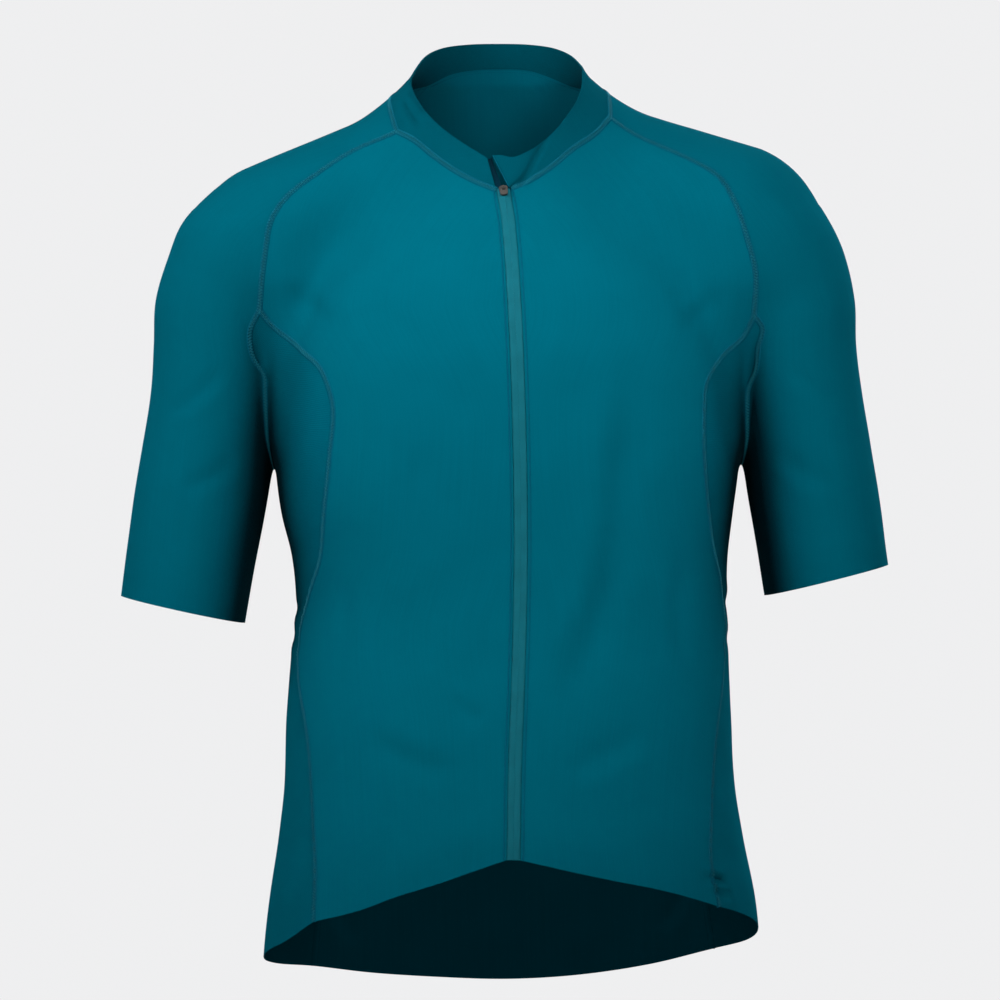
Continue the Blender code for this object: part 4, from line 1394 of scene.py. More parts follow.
@dataclass(frozen=True)
class Tape:
    """Close woven zip tape with a thin smooth film on it."""

    name: str
    colour: Colour
    pitch: float = 0.0006
    relief: float = 0.00008
    strength: float = 0.15
    broad: float = 60.0
    yarn: float = 500.0
    tones: tuple[float, float] = (0.93, 1.07)
    roughness: tuple[float, float] = (0.42, 0.52)
    gloss: float = 0.08

    def material(self) -> bpy.types.Material:
        """Makes the finish.

        Returns:
            The material.
        """
        made = Nodes(self.name)
        uv, u, v = made.cloth_axes()
        slanted = made.wave(made.math("ADD", u, v), self.pitch)
        weave = made.math("MULTIPLY", slanted, made.wave(v, self.pitch))
        low, high = (scaled(self.colour, tone) for tone in self.tones)
        colour = made.colours(made.spread(made.noise(uv, self.broad, 3.0)), low, high)
        normal = made.bump(weave, self.strength, self.relief)
        made.surface(colour, made.spread(made.noise(uv, self.yarn), *self.roughness), normal)
        made.set(Specular_IOR_Level=self.gloss, Specular_Tint=(*SHINE, 1.0))
        return made.material


@dataclass(frozen=True)
class Metal:
    """Painted cast metal with worn edges."""

    name: str
    colour: Colour
    worn: Colour
    metallic: float = 0.4
    relief: float = 0.00005
    strength: float = 0.1
    grain: float = 900.0
    # how sharp an edge has to be to wear, the grain's share in the wear, and the wear's range
    edge: tuple[float, float] = (0.5, 0.56)
    grain_share: float = 0.3
    wear: tuple[float, float] = (0.2, 1.0)
    roughness: tuple[float, float] = (0.4, 0.55)

    def material(self) -> bpy.types.Material:
        """Makes the finish.

        Returns:
            The material.
        """
        made = Nodes(self.name)
        place = made.add("ShaderNodeTexCoord").outputs["Object"]
        grain = made.noise(place, self.grain, 4.0)
        edge = made.ramp(made.add("ShaderNodeNewGeometry").outputs["Pointiness"], *self.edge)
        wear = made.math("ADD", edge, made.math("MULTIPLY", grain, self.grain_share))
        colour = made.colours(made.ramp(wear, *self.wear), self.colour, self.worn)
        normal = made.bump(grain, self.strength, self.relief)
        made.surface(colour, made.spread(grain, *self.roughness), normal)
        made.set(Metallic=self.metallic)
        return made.material


@dataclass
class Finishes:
    """Every finish of the garment, each made once."""

    teal: Colour = (0.0, 0.125, 0.183)

    def __post_init__(self) -> None:
        """Makes the materials."""
        finishes = {
            "front": Knit("front_knit", self.teal),
            "back": Knit("back_knit", self.teal),
            "sleeve": Knit("sleeve_knit", scaled(self.teal, 0.88), rib=0.0008),
            # the collar's knit is the same teal, darkened to 0.66 as painted shade
            "collar": Knit("collar_knit_painted_shade", scaled(self.teal, 0.66), rib=0.0007, course=0.0006),
            "side": HoleMesh("side_mesh", scaled(self.teal, 0.93)),
            "tape": Tape("zip_tape_film", (0.007, 0.138, 0.182)),
            "seam": Knit("seam_knit", (0.002, 0.1, 0.16), rib=0.0005, course=0.0009),
            "thread": Thread("seam_thread", (0.016, 0.225, 0.3)),
            "metal": Metal("slider_metal", (0.03, 0.036, 0.036), (0.07, 0.066, 0.059)),
            # the coil's dark nylon; it also serves as the tapes' inner side and as painted shade on the
            # tapes above the slider
            "coil": Tape("zip_coil_nylon_and_painted_shade", (0.001, 0.02, 0.036)),
            "reverse": Knit("reverse_knit", scaled(self.teal, 0.9), relief=0.00018, side=Side.REVERSE),
        }
        self.made = {key: finish.material() for key, finish in finishes.items()}

    def __getitem__(self, name: str) -> bpy.types.Material:
        """Returns a material by its short name."""
        return self.made[name]


def cells(columns: int, rows: int, closed_rows: int = 0) -> tuple[Array, Array]:
    """Returns a grid's cells as quads of point numbers.

    Args:
        columns: the number of cells across.
        rows: the number of cells down.
        closed_rows: how many last rows are closed round, where the last column is the first.
    Returns:
        The quads with the closed rows' points shared, and the same quads with them apart.
    """
    apart = np.arange((columns + 1) * (rows + 1)).reshape(columns + 1, rows + 1)
    shared = apart.copy()
    if closed_rows:
        shared[-1, -1 - closed_rows :] = shared[0, -1 - closed_rows :]
    both = []
    for number in (shared, apart):
        corners = [number[:-1, :-1], number[1:, :-1], number[1:, 1:], number[:-1, 1:]]
        both.append(np.stack([corner.reshape(-1) for corner in corners], 1))
    return both[0], both[1]


def open_edges(quads: Array) -> Array:
    """Finds the edges that only one quad has.

    Args:
        quads: the quads as rows of point numbers.
    Returns:
        The numbers of the quad corners at which such an edge starts.
    """
    ends = np.stack([quads, np.roll(quads, -1, axis=1)], 2).reshape(-1, 2)
    _, which, counts = np.unique(np.sort(ends, axis=1), axis=0, return_inverse=True, return_counts=True)
    return np.flatnonzero(counts[which.reshape(-1)] == 1)


def cloth_place(grid: Array) -> Array:
    """Lays a grid flat.

    Args:
        grid: its points.
    Returns:
        Each point's place on the flat cloth, in metres across and down.
    """
    steps = np.linalg.norm(np.diff(grid, axis=0), axis=2)
    across = np.concatenate([np.zeros((1, grid.shape[1])), np.cumsum(steps, axis=0)])
    across = across - across[-1:] / 2
    drops = np.linalg.norm(np.diff(grid, axis=1), axis=2).mean(0)
    down = np.concatenate([[0], np.cumsum(drops)])
    return np.stack([across, np.broadcast_to(down, across.shape)], 2) / METRE


def mesh_object(
    name: str,
    points: Array,
    faces: Sequence[Sequence[int]],
    places: Array,
    materials: Sequence[bpy.types.Material],
    creased: bool = True,
) -> bpy.types.Object:
    """Makes a smooth shaded mesh object that rides on the garment.

    Args:
        name: the object's name.
        points: its points, in millimetres.
        faces: its faces as rows of point numbers.
        places: the place on the cloth of each face corner, in metres.
        materials: the materials of its slots.
        creased: whether its sharp edges are shaded as such.
    Returns:
        The new object.
    """
    mesh = bpy.data.meshes.new(name)
    mesh.from_pydata((points / METRE).tolist(), [], faces)
    layer = mesh.uv_layers.new(name=UV_NAME)
    layer.data.foreach_set("uv", np.ascontiguousarray(places, np.float32).reshape(-1))
    mesh.shade_smooth()
    if creased:
        mesh.set_sharp_from_angle(angle=CREASE_ANGLE)
    for material in materials:
        mesh.materials.append(material)
    thing = bpy.data.objects.new(name, mesh)
    bpy.context.scene.collection.objects.link(thing)
    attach(thing, GARMENT)
    log.info("%s: %d faces", name, len(faces))
    return thing


def tube(
    name: str, path: Array, normals: Array, radius: float, material: bpy.types.Material, sides: int = 5
) -> bpy.types.Object:
    """Makes a closed round tube along a path.

    Args:
        name: the piece's name.
        path: its middle line, in millimetres.
        normals: a direction roughly square to the path at each point.
        radius: its radius.
        material: its material.
        sides: the number of its sides.
    Returns:
        The new piece.
    """
    along = unit(np.gradient(path, axis=0))
    side = unit(np.cross(along, normals))
    up = np.cross(side, along)
    turn = 2 * math.pi * np.arange(sides) / sides
    round_it = np.cos(turn)[None, :, None] * side[:, None] + np.sin(turn)[None, :, None] * up[:, None]
    rings = path[:, None] + radius * round_it
    number = np.arange(len(path) * sides).reshape(-1, sides)
    turned = np.roll(number, -1, axis=1)
    quads = np.stack([number[:-1], turned[:-1], turned[1:], number[1:]], 2).reshape(-1, 4)
    faces = quads.tolist() + [number[0][::-1].tolist(), number[-1].tolist()]
    length = lengths(path)[:, None] / METRE
    places = np.stack(np.broadcast_arrays(turn[None] * radius / METRE, length), 2).reshape(-1, 2)
    corners = np.concatenate(faces)
    return mesh_object(name, rings.reshape(-1, 3), faces, places[corners], [material], False)


@dataclass(frozen=True)
class Cut:
    """A sheet's flat width and length, in metres, and its flat area, in square metres."""

    width: float
    length: float
    area: float


def declared(node: str, cut: Cut) -> None:
    """Hides the CAD part that a cloth piece replaces.

    Args:
        node: the node that it replaces.
        cut: its flat size; not used.
    """
    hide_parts(node)


@dataclass(frozen=True)
class Profile:
    """A band's cross-section: heights at distances from its middle, and its thickness."""

    offsets: tuple[float, ...]
    heights: tuple[float, ...]
    wall: float

    def raised(self, by: float) -> "Profile":
        """Returns the same section set higher."""
        return Profile(self.offsets, tuple(height + by for height in self.heights), self.wall)


@dataclass(frozen=True)
class Stitch:
    """The sizes of a row of stitches: its height is its thread's, which dips at each turn."""

    pitch: float = 2.3
    width: float = 3.8
    height: float = 0.38
    dip: float = 0.2
    radius: float = 0.2


@dataclass
class Workshop:
    """Turns grids on the figure into thin closed shells of cloth, and sews them."""

    figure: Figure
    pattern: Pattern
    grids: Grids
    drape: Drape
    finishes: Finishes

    def panel(self, edges: Sequence[Array]) -> Array:
        """Makes a panel's grid, evened as it was planned.

        Args:
            edges: the seams of its first and last row, and of its first and last column.
        Returns:
            The fine grid.
        """
        coarse = self.grids.relaxed(patch(*(edge[::FINE] for edge in edges)))
        return self.grids.fine(coarse, *edges)

    def shell(
        self,
        name: str,
        grid: Array,
        wall: float,
        face: str,
        reverse: str = "reverse",
        lift: float | Array = 0.0,
        closed_rows: int = 0,
    ) -> bpy.types.Object:
        """Makes one shell.

        Args:
            name: the piece's name.
            grid: the points on the figure, column by column.
            wall: the cloth's thickness.
            face: the finish of its outer side.
            reverse: the finish of its inner side.
            lift: how far the outer side stands off the draped figure at each point.
            closed_rows: how many last rows are closed round.
        Returns:
            The new piece.
        """
        quads, apart = cells(grid.shape[0] - 1, grid.shape[1] - 1, closed_rows)
        normals = self.figure.outwards(grid)
        outer = grid + (self.drape.rise(grid) + lift)[..., None] * normals
        outer, normals = outer.reshape(-1, 3), normals.reshape(-1, 3)
        layers = np.stack([outer, outer - wall * normals])
        a, b, c = (outer[quads[:, k]] for k in (0, 1, 2))
        if (np.cross(b - a, c - a) * normals[quads[:, 0]]).sum() < 0:
            quads, apart = quads[:, ::-1], apart[:, ::-1]
        places = cloth_place(grid).reshape(-1, 2)
        return self.closed(name, layers, quads, apart, places, (face, reverse))

    def closed(
        self,
        name: str,
        layers: Array,
        quads: Array,
        apart: Array,
        places: Array,
        finishes: tuple[str, str],
    ) -> bpy.types.Object:
        """Makes a closed mesh from two layers of the same cells.

        Args:
            name: the piece's name.
            layers: the points of the outer and of the inner layer.
            quads: a layer's cells as rows of point numbers.
            apart: the same cells, with the points of closed rows apart.
            places: the place on the cloth of each point.
            finishes: the finish of the outer side and the rim, and that of the inner side.
        Returns:
            The new piece.
        """
        rim = open_edges(quads)
        nexts = rim - rim % 4 + (rim + 1) % 4
        a, b = quads.reshape(-1)[rim], quads.reshape(-1)[nexts]
        place_a, place_b = apart.reshape(-1)[rim], apart.reshape(-1)[nexts]
        count = layers.shape[1]
        rim_faces = np.stack([b, a, a + count, b + count], 1)
        rim_places = np.stack([place_b, place_a, place_a, place_b], 1)
        faces = np.concatenate([quads, quads[:, ::-1] + count, rim_faces])
        corners = np.concatenate([apart, apart[:, ::-1], rim_places])
        used, numbers = np.unique(faces, return_inverse=True)
        points = layers.reshape(-1, 3)[used]
        materials = [self.finishes[finish] for finish in finishes]
        faces = numbers.reshape(-1, 4).tolist()
        thing = mesh_object(name, points, faces, places[corners.reshape(-1)], materials)
        slots = np.zeros(len(corners), np.int32)
        slots[len(quads) : 2 * len(quads)] = 1
        thing.data.polygons.foreach_set("material_index", slots)
        return thing

    def strip(
        self, name: str, row: Array, profile: Profile, finish: str, away: float = 0.0
    ) -> bpy.types.Object:
        """Lays a narrow raised band along a row of points of the figure.

        Args:
            name: the piece's name.
            row: the points it follows.
            profile: its cross-section.
            finish: the finish of all its sides.
            away: how far its middle is moved sideways.
        Returns:
            The new piece.
        """
        grid = self.beside(row, np.array(profile.offsets) + away)
        lift = np.repeat(np.array(profile.heights)[:, None], len(row), 1)
        return self.shell(name, grid, profile.wall, finish, finish, lift)

    def beside(self, row: Array, offsets: Array) -> Array:
        """Returns rows of points of the figure at distances to the side of a row."""
        side = unit(np.cross(self.figure.outwards(row), np.gradient(row, axis=0)))
        return self.figure.settle(row[None] + offsets[:, None, None] * side[None], 2)

    def thread(self, name: str, row: Array, stitch: Stitch) -> bpy.types.Object:
        """Sews one thread that runs to and fro across a row of points.

        Args:
            name: the piece's name.
            row: the points it follows.
            stitch: its sizes.
        Returns:
            The new piece.
        """
        turns = max(int(lengths(row)[-1] / stitch.pitch), 2)
        line = stations(row, turns * 4)
        side = unit(np.cross(self.figure.outwards(line), np.gradient(line, axis=0)))
        phase = np.arange(len(line)) % 4
        swing = stitch.width / 2 * np.array((0.0, 1.0, 0.0, -1.0))[phase]
        path = self.figure.settle(line + swing[:, None] * side, 1)
        normals = self.figure.outwards(path)
        sunk = np.where(phase % 2 == 1, -stitch.dip, 0.0)
        path = path + (self.drape.rise(path) + stitch.height + sunk)[:, None] * normals
        return tube(name, path, normals, stitch.radius, self.finishes["thread"])


@dataclass
class Trunk:
    """The two fronts, the back and the panels under the arms."""

    shop: Workshop
    wall: float = 0.8
    # the shares of a side panel over which the bends of its armhole and of its hem fade
    armhole_reach: float = 0.5
    hem_reach: float = 0.5
    front_cut: Cut = Cut(0.21, 0.62, 0.0955)
    back_cut: Cut = Cut(0.40, 0.75, 0.2275)

    SIDE_CUTS = {"right": Cut(0.20, 0.52, 0.069), "left": Cut(0.20, 0.52, 0.0587)}

    def build(self) -> Array:
        """Builds the panels of the trunk.

        Returns:
            The back's fine grid, which the pockets lie on.
        """
        for name in SIDES:
            self.front(name)
            self.side(name)
        return self.back()

    def front(self, name: str) -> None:
        """Builds one front.

        Args:
            name: right or left.
        """
        pattern = self.shop.pattern
        grid = self.shop.panel(
            (
                pattern[f"collar_front_{name}"],
                pattern[f"hem_front_{name}"],
                pattern[f"zip_edge_{name}"],
                run(pattern[f"raglan_front_{name}"], pattern[f"side_front_{name}"]),
            )
        )
        piece = self.shop.shell(f"cloth_front_{name}", grid, self.wall, "front")
        declared(f"front_{name}", self.front_cut)

    def side(self, name: str) -> None:
        """Builds the mesh panel under one arm.

        Args:
            name: right or left.
        """
        pattern, grids = self.shop.pattern, self.shop.grids
        edges = (
            run(pattern[f"armhole_front_{name}"], pattern[f"armhole_back_{name}"][::-1]),
            pattern[f"hem_side_{name}"],
            pattern[f"side_front_{name}"],
            pattern[f"side_back_{name}"],
        )
        plan = patch(*(edge[::FINE] for edge in edges), self.armhole_reach, self.hem_reach)
        grid = grids.fine(grids.evenly_rowed(plan, 0.0), *edges)
        piece = self.shop.shell(f"cloth_side_{name}", grid, self.wall, "side", "side")
        declared(f"side_{name}", self.SIDE_CUTS[name])

    def back(self) -> Array:
        """Builds the back.

        Returns:
            Its fine grid.
        """
        pattern = self.shop.pattern
        grid = self.shop.panel(
            (
                pattern["collar_back"],
                pattern["hem_back"],
                run(pattern["raglan_back_right"], pattern["side_back_right"]),
                run(pattern["raglan_back_left"], pattern["side_back_left"]),
            )
        )
        piece = self.shop.shell("cloth_back", grid, self.wall, "back")
        declared("back", self.back_cut)
        return grid


@dataclass
class Sleeves:
    """The two raglan sleeves, closed round below the underarm."""

    shop: Workshop
    wall: float = 0.8
    # how far a point goes to the middle of the rows beside it when the grid is evened
    evening: float = 1 / 3
    # the distances from a cuff's middle between which its edge is searched for, by halving
    cuff_near: float = 20.0
    cuff_far: float = 80.0
    cuff_rounds: int = 24

    CUTS = {"right": Cut(0.33, 0.48, 0.1072), "left": Cut(0.33, 0.48, 0.1013)}

    def build(self) -> None:
        """Builds both sleeves."""
        closed_rows = UNDERARM_ROWS * FINE
        for name, side in SIDES.items():
            grid = self.grid(name, side)
            title = f"cloth_sleeve_{name}"
            piece = self.shop.shell(title, grid, self.wall, "sleeve", closed_rows=closed_rows)
            declared(f"sleeve_{name}", self.CUTS[name])

    def grid(self, name: str, side: int) -> Array:
        """Makes one sleeve's grid, from the collar over the shoulder to the cuff.

        Args:
            name: right or left.
            side: -1 or 1 for it.
        Returns:
            The fine grid.
        """
        pattern, grids = self.shop.pattern, self.shop.grids
        cuff = self.cuff(side)
        pit = pattern[f"armhole_front_{name}"][-1]
        underarm = pattern.seam([pit, (pit + cuff[0]) / 2, cuff[0]], UNDERARM_ROWS)
        underarm[0], underarm[-1] = pit, cuff[0]
        pattern.rows[f"underarm_{name}"] = underarm
        ring = self.pit_ring(side, pit)
        before = run(pattern[f"raglan_front_{name}"], pattern[f"armhole_front_{name}"])
        behind = run(pattern[f"raglan_back_{name}"], pattern[f"armhole_back_{name}"])
        top = pattern[f"collar_side_{name}"]
        cap = patch(top[::FINE], ring, before[::FINE], behind[::FINE])
        below = patch(ring, cuff[::FINE], underarm[::FINE], underarm[::FINE])
        coarse = grids.evenly_rowed(np.concatenate([cap, below[:, 1:]], axis=1), self.evening)
        return grids.fine(coarse, top, cuff, run(before, underarm), run(behind, underarm))

    def pit_ring(self, side: int, pit: Array) -> Array:
        """Lays the coarse ring round the arm at the underarm.

        Args:
            side: -1 for the right arm, 1 for the left one.
            pit: the underarm's point.
        Returns:
            The ring's points, from the underarm over the front and back again.
        """
        figure = self.shop.figure
        top, down, out, _ = figure.arm_frame(side)
        centre = top + ((pit - top) @ down) * down
        turn = np.linspace(0, 2 * math.pi, SLEEVE_COLUMNS + 1)[:, None]
        radius = np.linalg.norm(pit - centre)
        ring = centre - radius * np.cos(turn) * out - radius * np.sin(turn) * np.array((0, 1, 0))
        ring[1:-1] = figure.settle(ring[1:-1])
        ring[0] = ring[-1] = pit
        return ring

    def cuff(self, side: int) -> Array:
        """Lays a cuff, where its slanted plane meets the arm.

        Args:
            side: -1 for the right arm, 1 for the left one.
        Returns:
            The cuff's fine row, from the inner side over the front and back again.
        """
        row = row_of(CUFFS, side)
        inner = np.array((row["inner_x"], 0, row["inner_z"]))
        outer = np.array((row["outer_x"], 0, row["outer_z"]))
        centre, inward = (inner + outer) / 2, unit(inner - outer)
        turn = np.linspace(0, 2 * math.pi, SLEEVE_COLUMNS * FINE + 1)[:, None]
        rays = np.cos(turn) * inward + np.sin(turn) * np.array((0, -1, 0))
        near, far = np.full(len(rays), self.cuff_near), np.full(len(rays), self.cuff_far)
        for _ in range(self.cuff_rounds):
            middle = (near + far) / 2
            inside = self.shop.figure.measure(centre + middle[:, None] * rays)[0] < 0
            near, far = np.where(inside, middle, near), np.where(inside, far, middle)
        points = centre + near[:, None] * rays
        points[-1] = points[0]
        return points


@dataclass
class Collar:
    """The stand collar and the flap over the zip's upper end."""

    shop: Workshop
    wall: float = 1.3
    flap_columns: int = 4
    # how far the flap's free edge stands off
    flap_lift: float = 2.3
    # how far the middle of the flap's binding is below the flap's outer side
    binding_drop: float = 0.1
    binding_radius: float = 0.5
    binding_sides: int = 8
    cut: Cut = Cut(0.53, 0.04, 0.0119)
    flap_cut: Cut = Cut(0.045, 0.035, 0.0008)

    TOP = [
        (-14.5, -75, -35.5), (-31, -70, -25), (-52, -61, -9), (-62, -54, 2), (-70, -44, 15),
        (-74, -28, 27), (-74, -6, 40), (-69, 18, 52), (-52, 39, 60), (-28, 50, 64), (-6, 53, 65),
        (16, 50, 64), (38, 39, 60), (54, 18, 52), (60, -6, 41), (59, -24, 34), (58, -41, 21),
        (54, -51, 9), (46, -58, -3), (37, -63, -14), (31, -66, -20),
    ]
    FLAP_FREE_FOOT = (1.9, -83, -59.4)
    FLAP_FREE_TOP = (-10.2, -75, -34.4)
    FLAP_TOP = [(-5, -75, -34), (5, -75, -35.5), (13.6, -73, -32), (23.6, -70, -26)]
    FLAP_SEAM = [(14, -80, -51)]

    def build(self) -> None:
        """Builds the collar and its flap."""
        figure, pattern = self.shop.figure, self.shop.pattern
        foot = run(
            pattern["collar_front_right"],
            pattern["collar_side_right"],
            pattern["collar_back"],
            pattern["collar_side_left"][::-1],
            pattern["collar_front_left"][::-1],
        )
        shares = lengths(foot) / lengths(foot)[-1]
        top = figure.settle(stations(figure.settle(spline(figure.settle(self.TOP))), shares=shares))
        right = pattern.seam([foot[0], top[0]], COLLAR_ROWS)
        left = pattern.seam([foot[-1], *self.FLAP_SEAM, top[-1]], COLLAR_ROWS)
        pattern.rows.update(collar_foot=foot, flap_seam=left)
        grid = self.shop.panel((foot, top, right, left))
        piece = self.shop.shell("cloth_collar", grid, self.wall, "collar", "collar")
        declared("collar", self.cut)
        self.flap()

    def flap(self) -> None:
        """Builds the flap, lifted at its free edge, and the binding of that edge."""
        shop, pattern = self.shop, self.shop.pattern
        corner = pattern["zip_edge_left"][0]
        foot = pattern.seam([self.FLAP_FREE_FOOT, corner], self.flap_columns)
        top = pattern.seam([self.FLAP_FREE_TOP, *self.FLAP_TOP, self.TOP[-1]], self.flap_columns)
        free = pattern.seam([foot[0], top[0]], COLLAR_ROWS)
        sewn = pattern["flap_seam"]
        foot[-1], top[-1] = sewn[0], sewn[-1]
        grid = shop.panel((foot, top, free, sewn))
        across = np.linspace(1, 0, len(grid))
        lift = self.flap_lift * ease(across, 0, 1)[:, None] * np.ones((1, grid.shape[1]))
        piece = shop.shell("cloth_zip_garage", grid, self.wall, "collar", "collar", lift)
        declared("zip_garage", self.flap_cut)
        normals = shop.figure.outwards(grid[0])
        rise = shop.drape.rise(grid[0]) + self.flap_lift - self.binding_drop
        edge = grid[0] + rise[:, None] * normals
        seam = shop.finishes["seam"]
        binding = tube("flap_edge", edge, normals, self.binding_radius, seam, self.binding_sides)


@dataclass
class Zip:
    """The front zip: its two tapes, the coil behind them, the slider and the pull tab."""

    shop: Workshop
    # the width of a tape, in metres
    tape_width: float = 0.0088
    # the coil's turns: their pitch, half width, place behind the figure and thickness
    coil_pitch: float = 1.35
    coil_reach: float = 1.7
    coil_near: float = -1.1
    coil_far: float = -1.75
    coil_radius: float = 0.3
    # the level of the slider, above which the zip is open
    slider_level: float = -60.5
    # how far the right tape turns in above the slider, and over what height
    turned_in: float = 1.8
    turned_over: float = 14.0
    # how far above the slider's level the tapes turn dark with painted shade
    painted_shade_above: float = 1.0

    # from the zip's middle to the tape's edge under the front
    TAPE = Profile(
        (0.02, 0.25, 1.2, 3.0, 4.5, 4.9, 5.3, 6.2, 8.2),
        (-0.2, -0.12, -0.1, -0.12, -0.22, -0.4, -0.95, -1.1, -1.15),
        0.5,
    )
    # where the open part of the right tape starts
    TAPE_TOP = (-11.2, -75, -35)
    METAL_NODES = (("zip_slider", GARMENT), ("pull_tab", TAB_BODY))

    def build(self) -> None:
        """Builds the zip and gives its metal pieces their finish."""
        for name, side in SIDES.items():
            self.tape(name, side)
        self.coil()
        for node, body in self.METAL_NODES:
            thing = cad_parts[node]
            thing.data.materials.clear()
            thing.data.materials.append(self.shop.finishes["metal"])
            log.info("%s: carried over with its metal finish, on %s", node, body)

    def tape(self, name: str, side: int) -> None:
        """Builds one tape, dark above the slider, where the coil's dark finish paints the shade under the
        flap.

        Args:
            name: right or left.
            side: -1 or 1 for it.
        """
        row = self.row(name)
        grid = self.shop.beside(row, side * np.array(self.TAPE.offsets))
        lift = np.repeat(np.array(self.TAPE.heights)[:, None], grid.shape[1], 1)
        if name == "right":
            turned = ease(grid[..., 2], self.slider_level, self.slider_level + self.turned_over)
            lift = lift - self.turned_in * turned
        piece = self.shop.shell(f"cloth_zip_tape_{name}", grid, self.TAPE.wall, "tape", "coil", lift)
        # painted shade: the faces above the slider get the dark coil finish
        for face in piece.data.polygons:
            if face.center.z * METRE > self.slider_level + self.painted_shade_above:
                face.material_index = 1
        length = round(float(lengths(row)[-1]) / METRE, 3)
        cut = Cut(LEAST_FLAT_WIDTH, length, round(self.tape_width * length, 5))
        declared(f"zip_tape_{name}", cut)

    def row(self, name: str) -> Array:
        """Lays the row that one tape follows, with the right one's open upper part.

        Args:
            name: right or left.
        Returns:
            The row's points, from the top down.
        """
        middle = self.shop.pattern["zip_middle"]
        if name == "left":
            return middle
        start = self.shop.figure.settle(np.array([self.TAPE_TOP]))[0]
        return run(self.shop.pattern.seam([start, middle[0]], COLLAR_ROWS), middle)

    def coil(self) -> None:
        """Builds the coil behind the tapes as one thread that turns to and fro."""
        shop, middle = self.shop, self.shop.pattern["zip_middle"]
        turns = int(lengths(middle)[-1] / self.coil_pitch)
        line = stations(middle, turns * 4)
        normals = shop.figure.outwards(line)
        side = unit(np.cross(normals, np.gradient(line, axis=0)))
        phase = np.arange(len(line)) % 4
        swing = self.coil_reach * np.array((-1.0, -1.0, 1.0, 1.0))[phase]
        depth = np.array((self.coil_near, self.coil_far, self.coil_far, self.coil_near))[phase]
        path = line + swing[:, None] * side + (shop.drape.rise(line) + depth)[:, None] * normals
        tube("zip_coil", path, normals, self.coil_radius, shop.finishes["coil"])


@dataclass
class RearPockets:
    """The pocket panel, made from the back's own points, open along its top."""

    shop: Workshop
    # the back's coarse columns and rows that the panel covers, and how many pockets it makes
    first_column: int = 2
    last_column: int = 12
    top_row: int = 16
    foot_row: int = 23
    count: int = 3
    wall: float = 0.8
    # the air between the panel and the back, and how far the mouth bellies out
    air: float = 0.15
    belly: float = 3.4
    cut: Cut = Cut(0.26, 0.25, 0.06)

    BINDING = Profile((-4.5, -4.2, -2, 0, 2, 4.2, 4.5), (0.0, 0.35, 0.5, 0.45, 0.5, 0.35, 0.0), 1.1)
    SEAM = Profile((-1.6, -1.2, 0, 1.2, 1.6), (0.0, 0.35, 0.25, 0.35, 0.0), 1.0)

    def __post_init__(self) -> None:
        """Sets the seams and their stitches at the height of the panel."""
        level = self.wall + self.air
        self.raised = self.SEAM.raised(level)
        self.stitch = Stitch(height=Stitch.height + level)

    def build(self, back: Array) -> None:
        """Builds the pocket panel, its binding and its seams.

        Args:
            back: the back's fine grid.
        """
        columns = slice(self.first_column * FINE, self.last_column * FINE + 1)
        rows = slice(self.top_row * FINE, self.foot_row * FINE + 1)
        grid = back[columns, rows]
        across = np.linspace(0, 1, grid.shape[0])[:, None]
        down = np.linspace(0, 1, grid.shape[1])[None]
        swell = np.abs(np.sin(across * self.count * math.pi)) * (1 - down) ** 2
        lift = self.wall + self.air + self.belly * swell
        piece = self.shop.shell("cloth_rear_pockets", grid, self.wall, "back", "reverse", lift)
        declared("rear_pockets", self.cut)
        self.binding(grid[:, 0], lift[:, 0])
        for k in range(self.count + 1):
            self.sew(str(k), grid[round(k * (grid.shape[0] - 1) / self.count)])
        self.sew("foot", grid[:, -1])

    def binding(self, row: Array, lift: Array) -> None:
        """Builds the elastic binding along the pockets' mouth.

        Args:
            row: the points of the mouth.
            lift: how far the panel stands off the back at each of them.
        """
        rows = self.shop.beside(row, np.array(self.BINDING.offsets))
        lifts = lift[None] + np.array(self.BINDING.heights)[:, None]
        piece = self.shop.shell("pocket_mouth", rows, self.BINDING.wall, "back", "back", lifts)

    def sew(self, name: str, row: Array) -> None:
        """Builds one seam of the pockets and its thread.

        Args:
            name: what tells it from the other seams.
            row: the points it follows.
        """
        self.shop.strip(f"pocket_seam_{name}", row, self.raised, "back")
        self.shop.thread(f"pocket_thread_{name}", row, self.stitch)


@dataclass
class SeamWork:
    """The flat raised seams between the panels and the thread that sews them."""

    shop: Workshop
    stitch: Stitch = Stitch()
    # how far from the zip's edge the stitching beside it runs
    edging_away: float = 2.0

    FLAT = Profile(
        (-2.9, -2.6, -2.2, -1.6, -0.6, 0.0, 0.6, 1.6, 2.2, 2.6, 2.9),
        (-0.5, -0.3, 0.16, 0.28, 0.22, 0.1, 0.22, 0.28, 0.16, -0.3, -0.5),
        0.4,
    )
    SLIM = Profile((-0.7, -0.55, -0.2, 0.2, 0.55, 0.7), (-0.1, 0.1, 0.17, 0.17, 0.1, -0.1), 0.3)
    SLOTS = {
        "raglan_front": "sleeve",
        "raglan_back": "sleeve",
        "armhole_front": "sleeve",
        "armhole_back": "sleeve",
        "side_front": "front",
        "side_back": "back",
        "underarm": "sleeve",
    }

    def build(self) -> None:
        """Builds every seam, and the edge stitching beside the zip."""
        shop = self.shop
        for name, side in SIDES.items():
            for seam_name, slot in self.SLOTS.items():
                self.sew(f"{seam_name}_{name}", slot)
            edge = shop.pattern[f"zip_edge_{name}"]
            away = side * self.edging_away
            shop.strip(f"zip_edging_{name}", edge, self.SLIM, "seam", away)
        self.sew("collar_foot", "collar")

    def sew(self, name: str, slot: str) -> None:
        """Builds one flat seam and its thread.

        Args:
            name: the seam's name in the pattern.
            slot: the slot of its material; not used.
        """
        row = self.shop.pattern[name]
        self.shop.strip(f"seam_{name}", row, self.FLAT, "seam")
        self.shop.thread(f"thread_{name}", row, self.stitch)


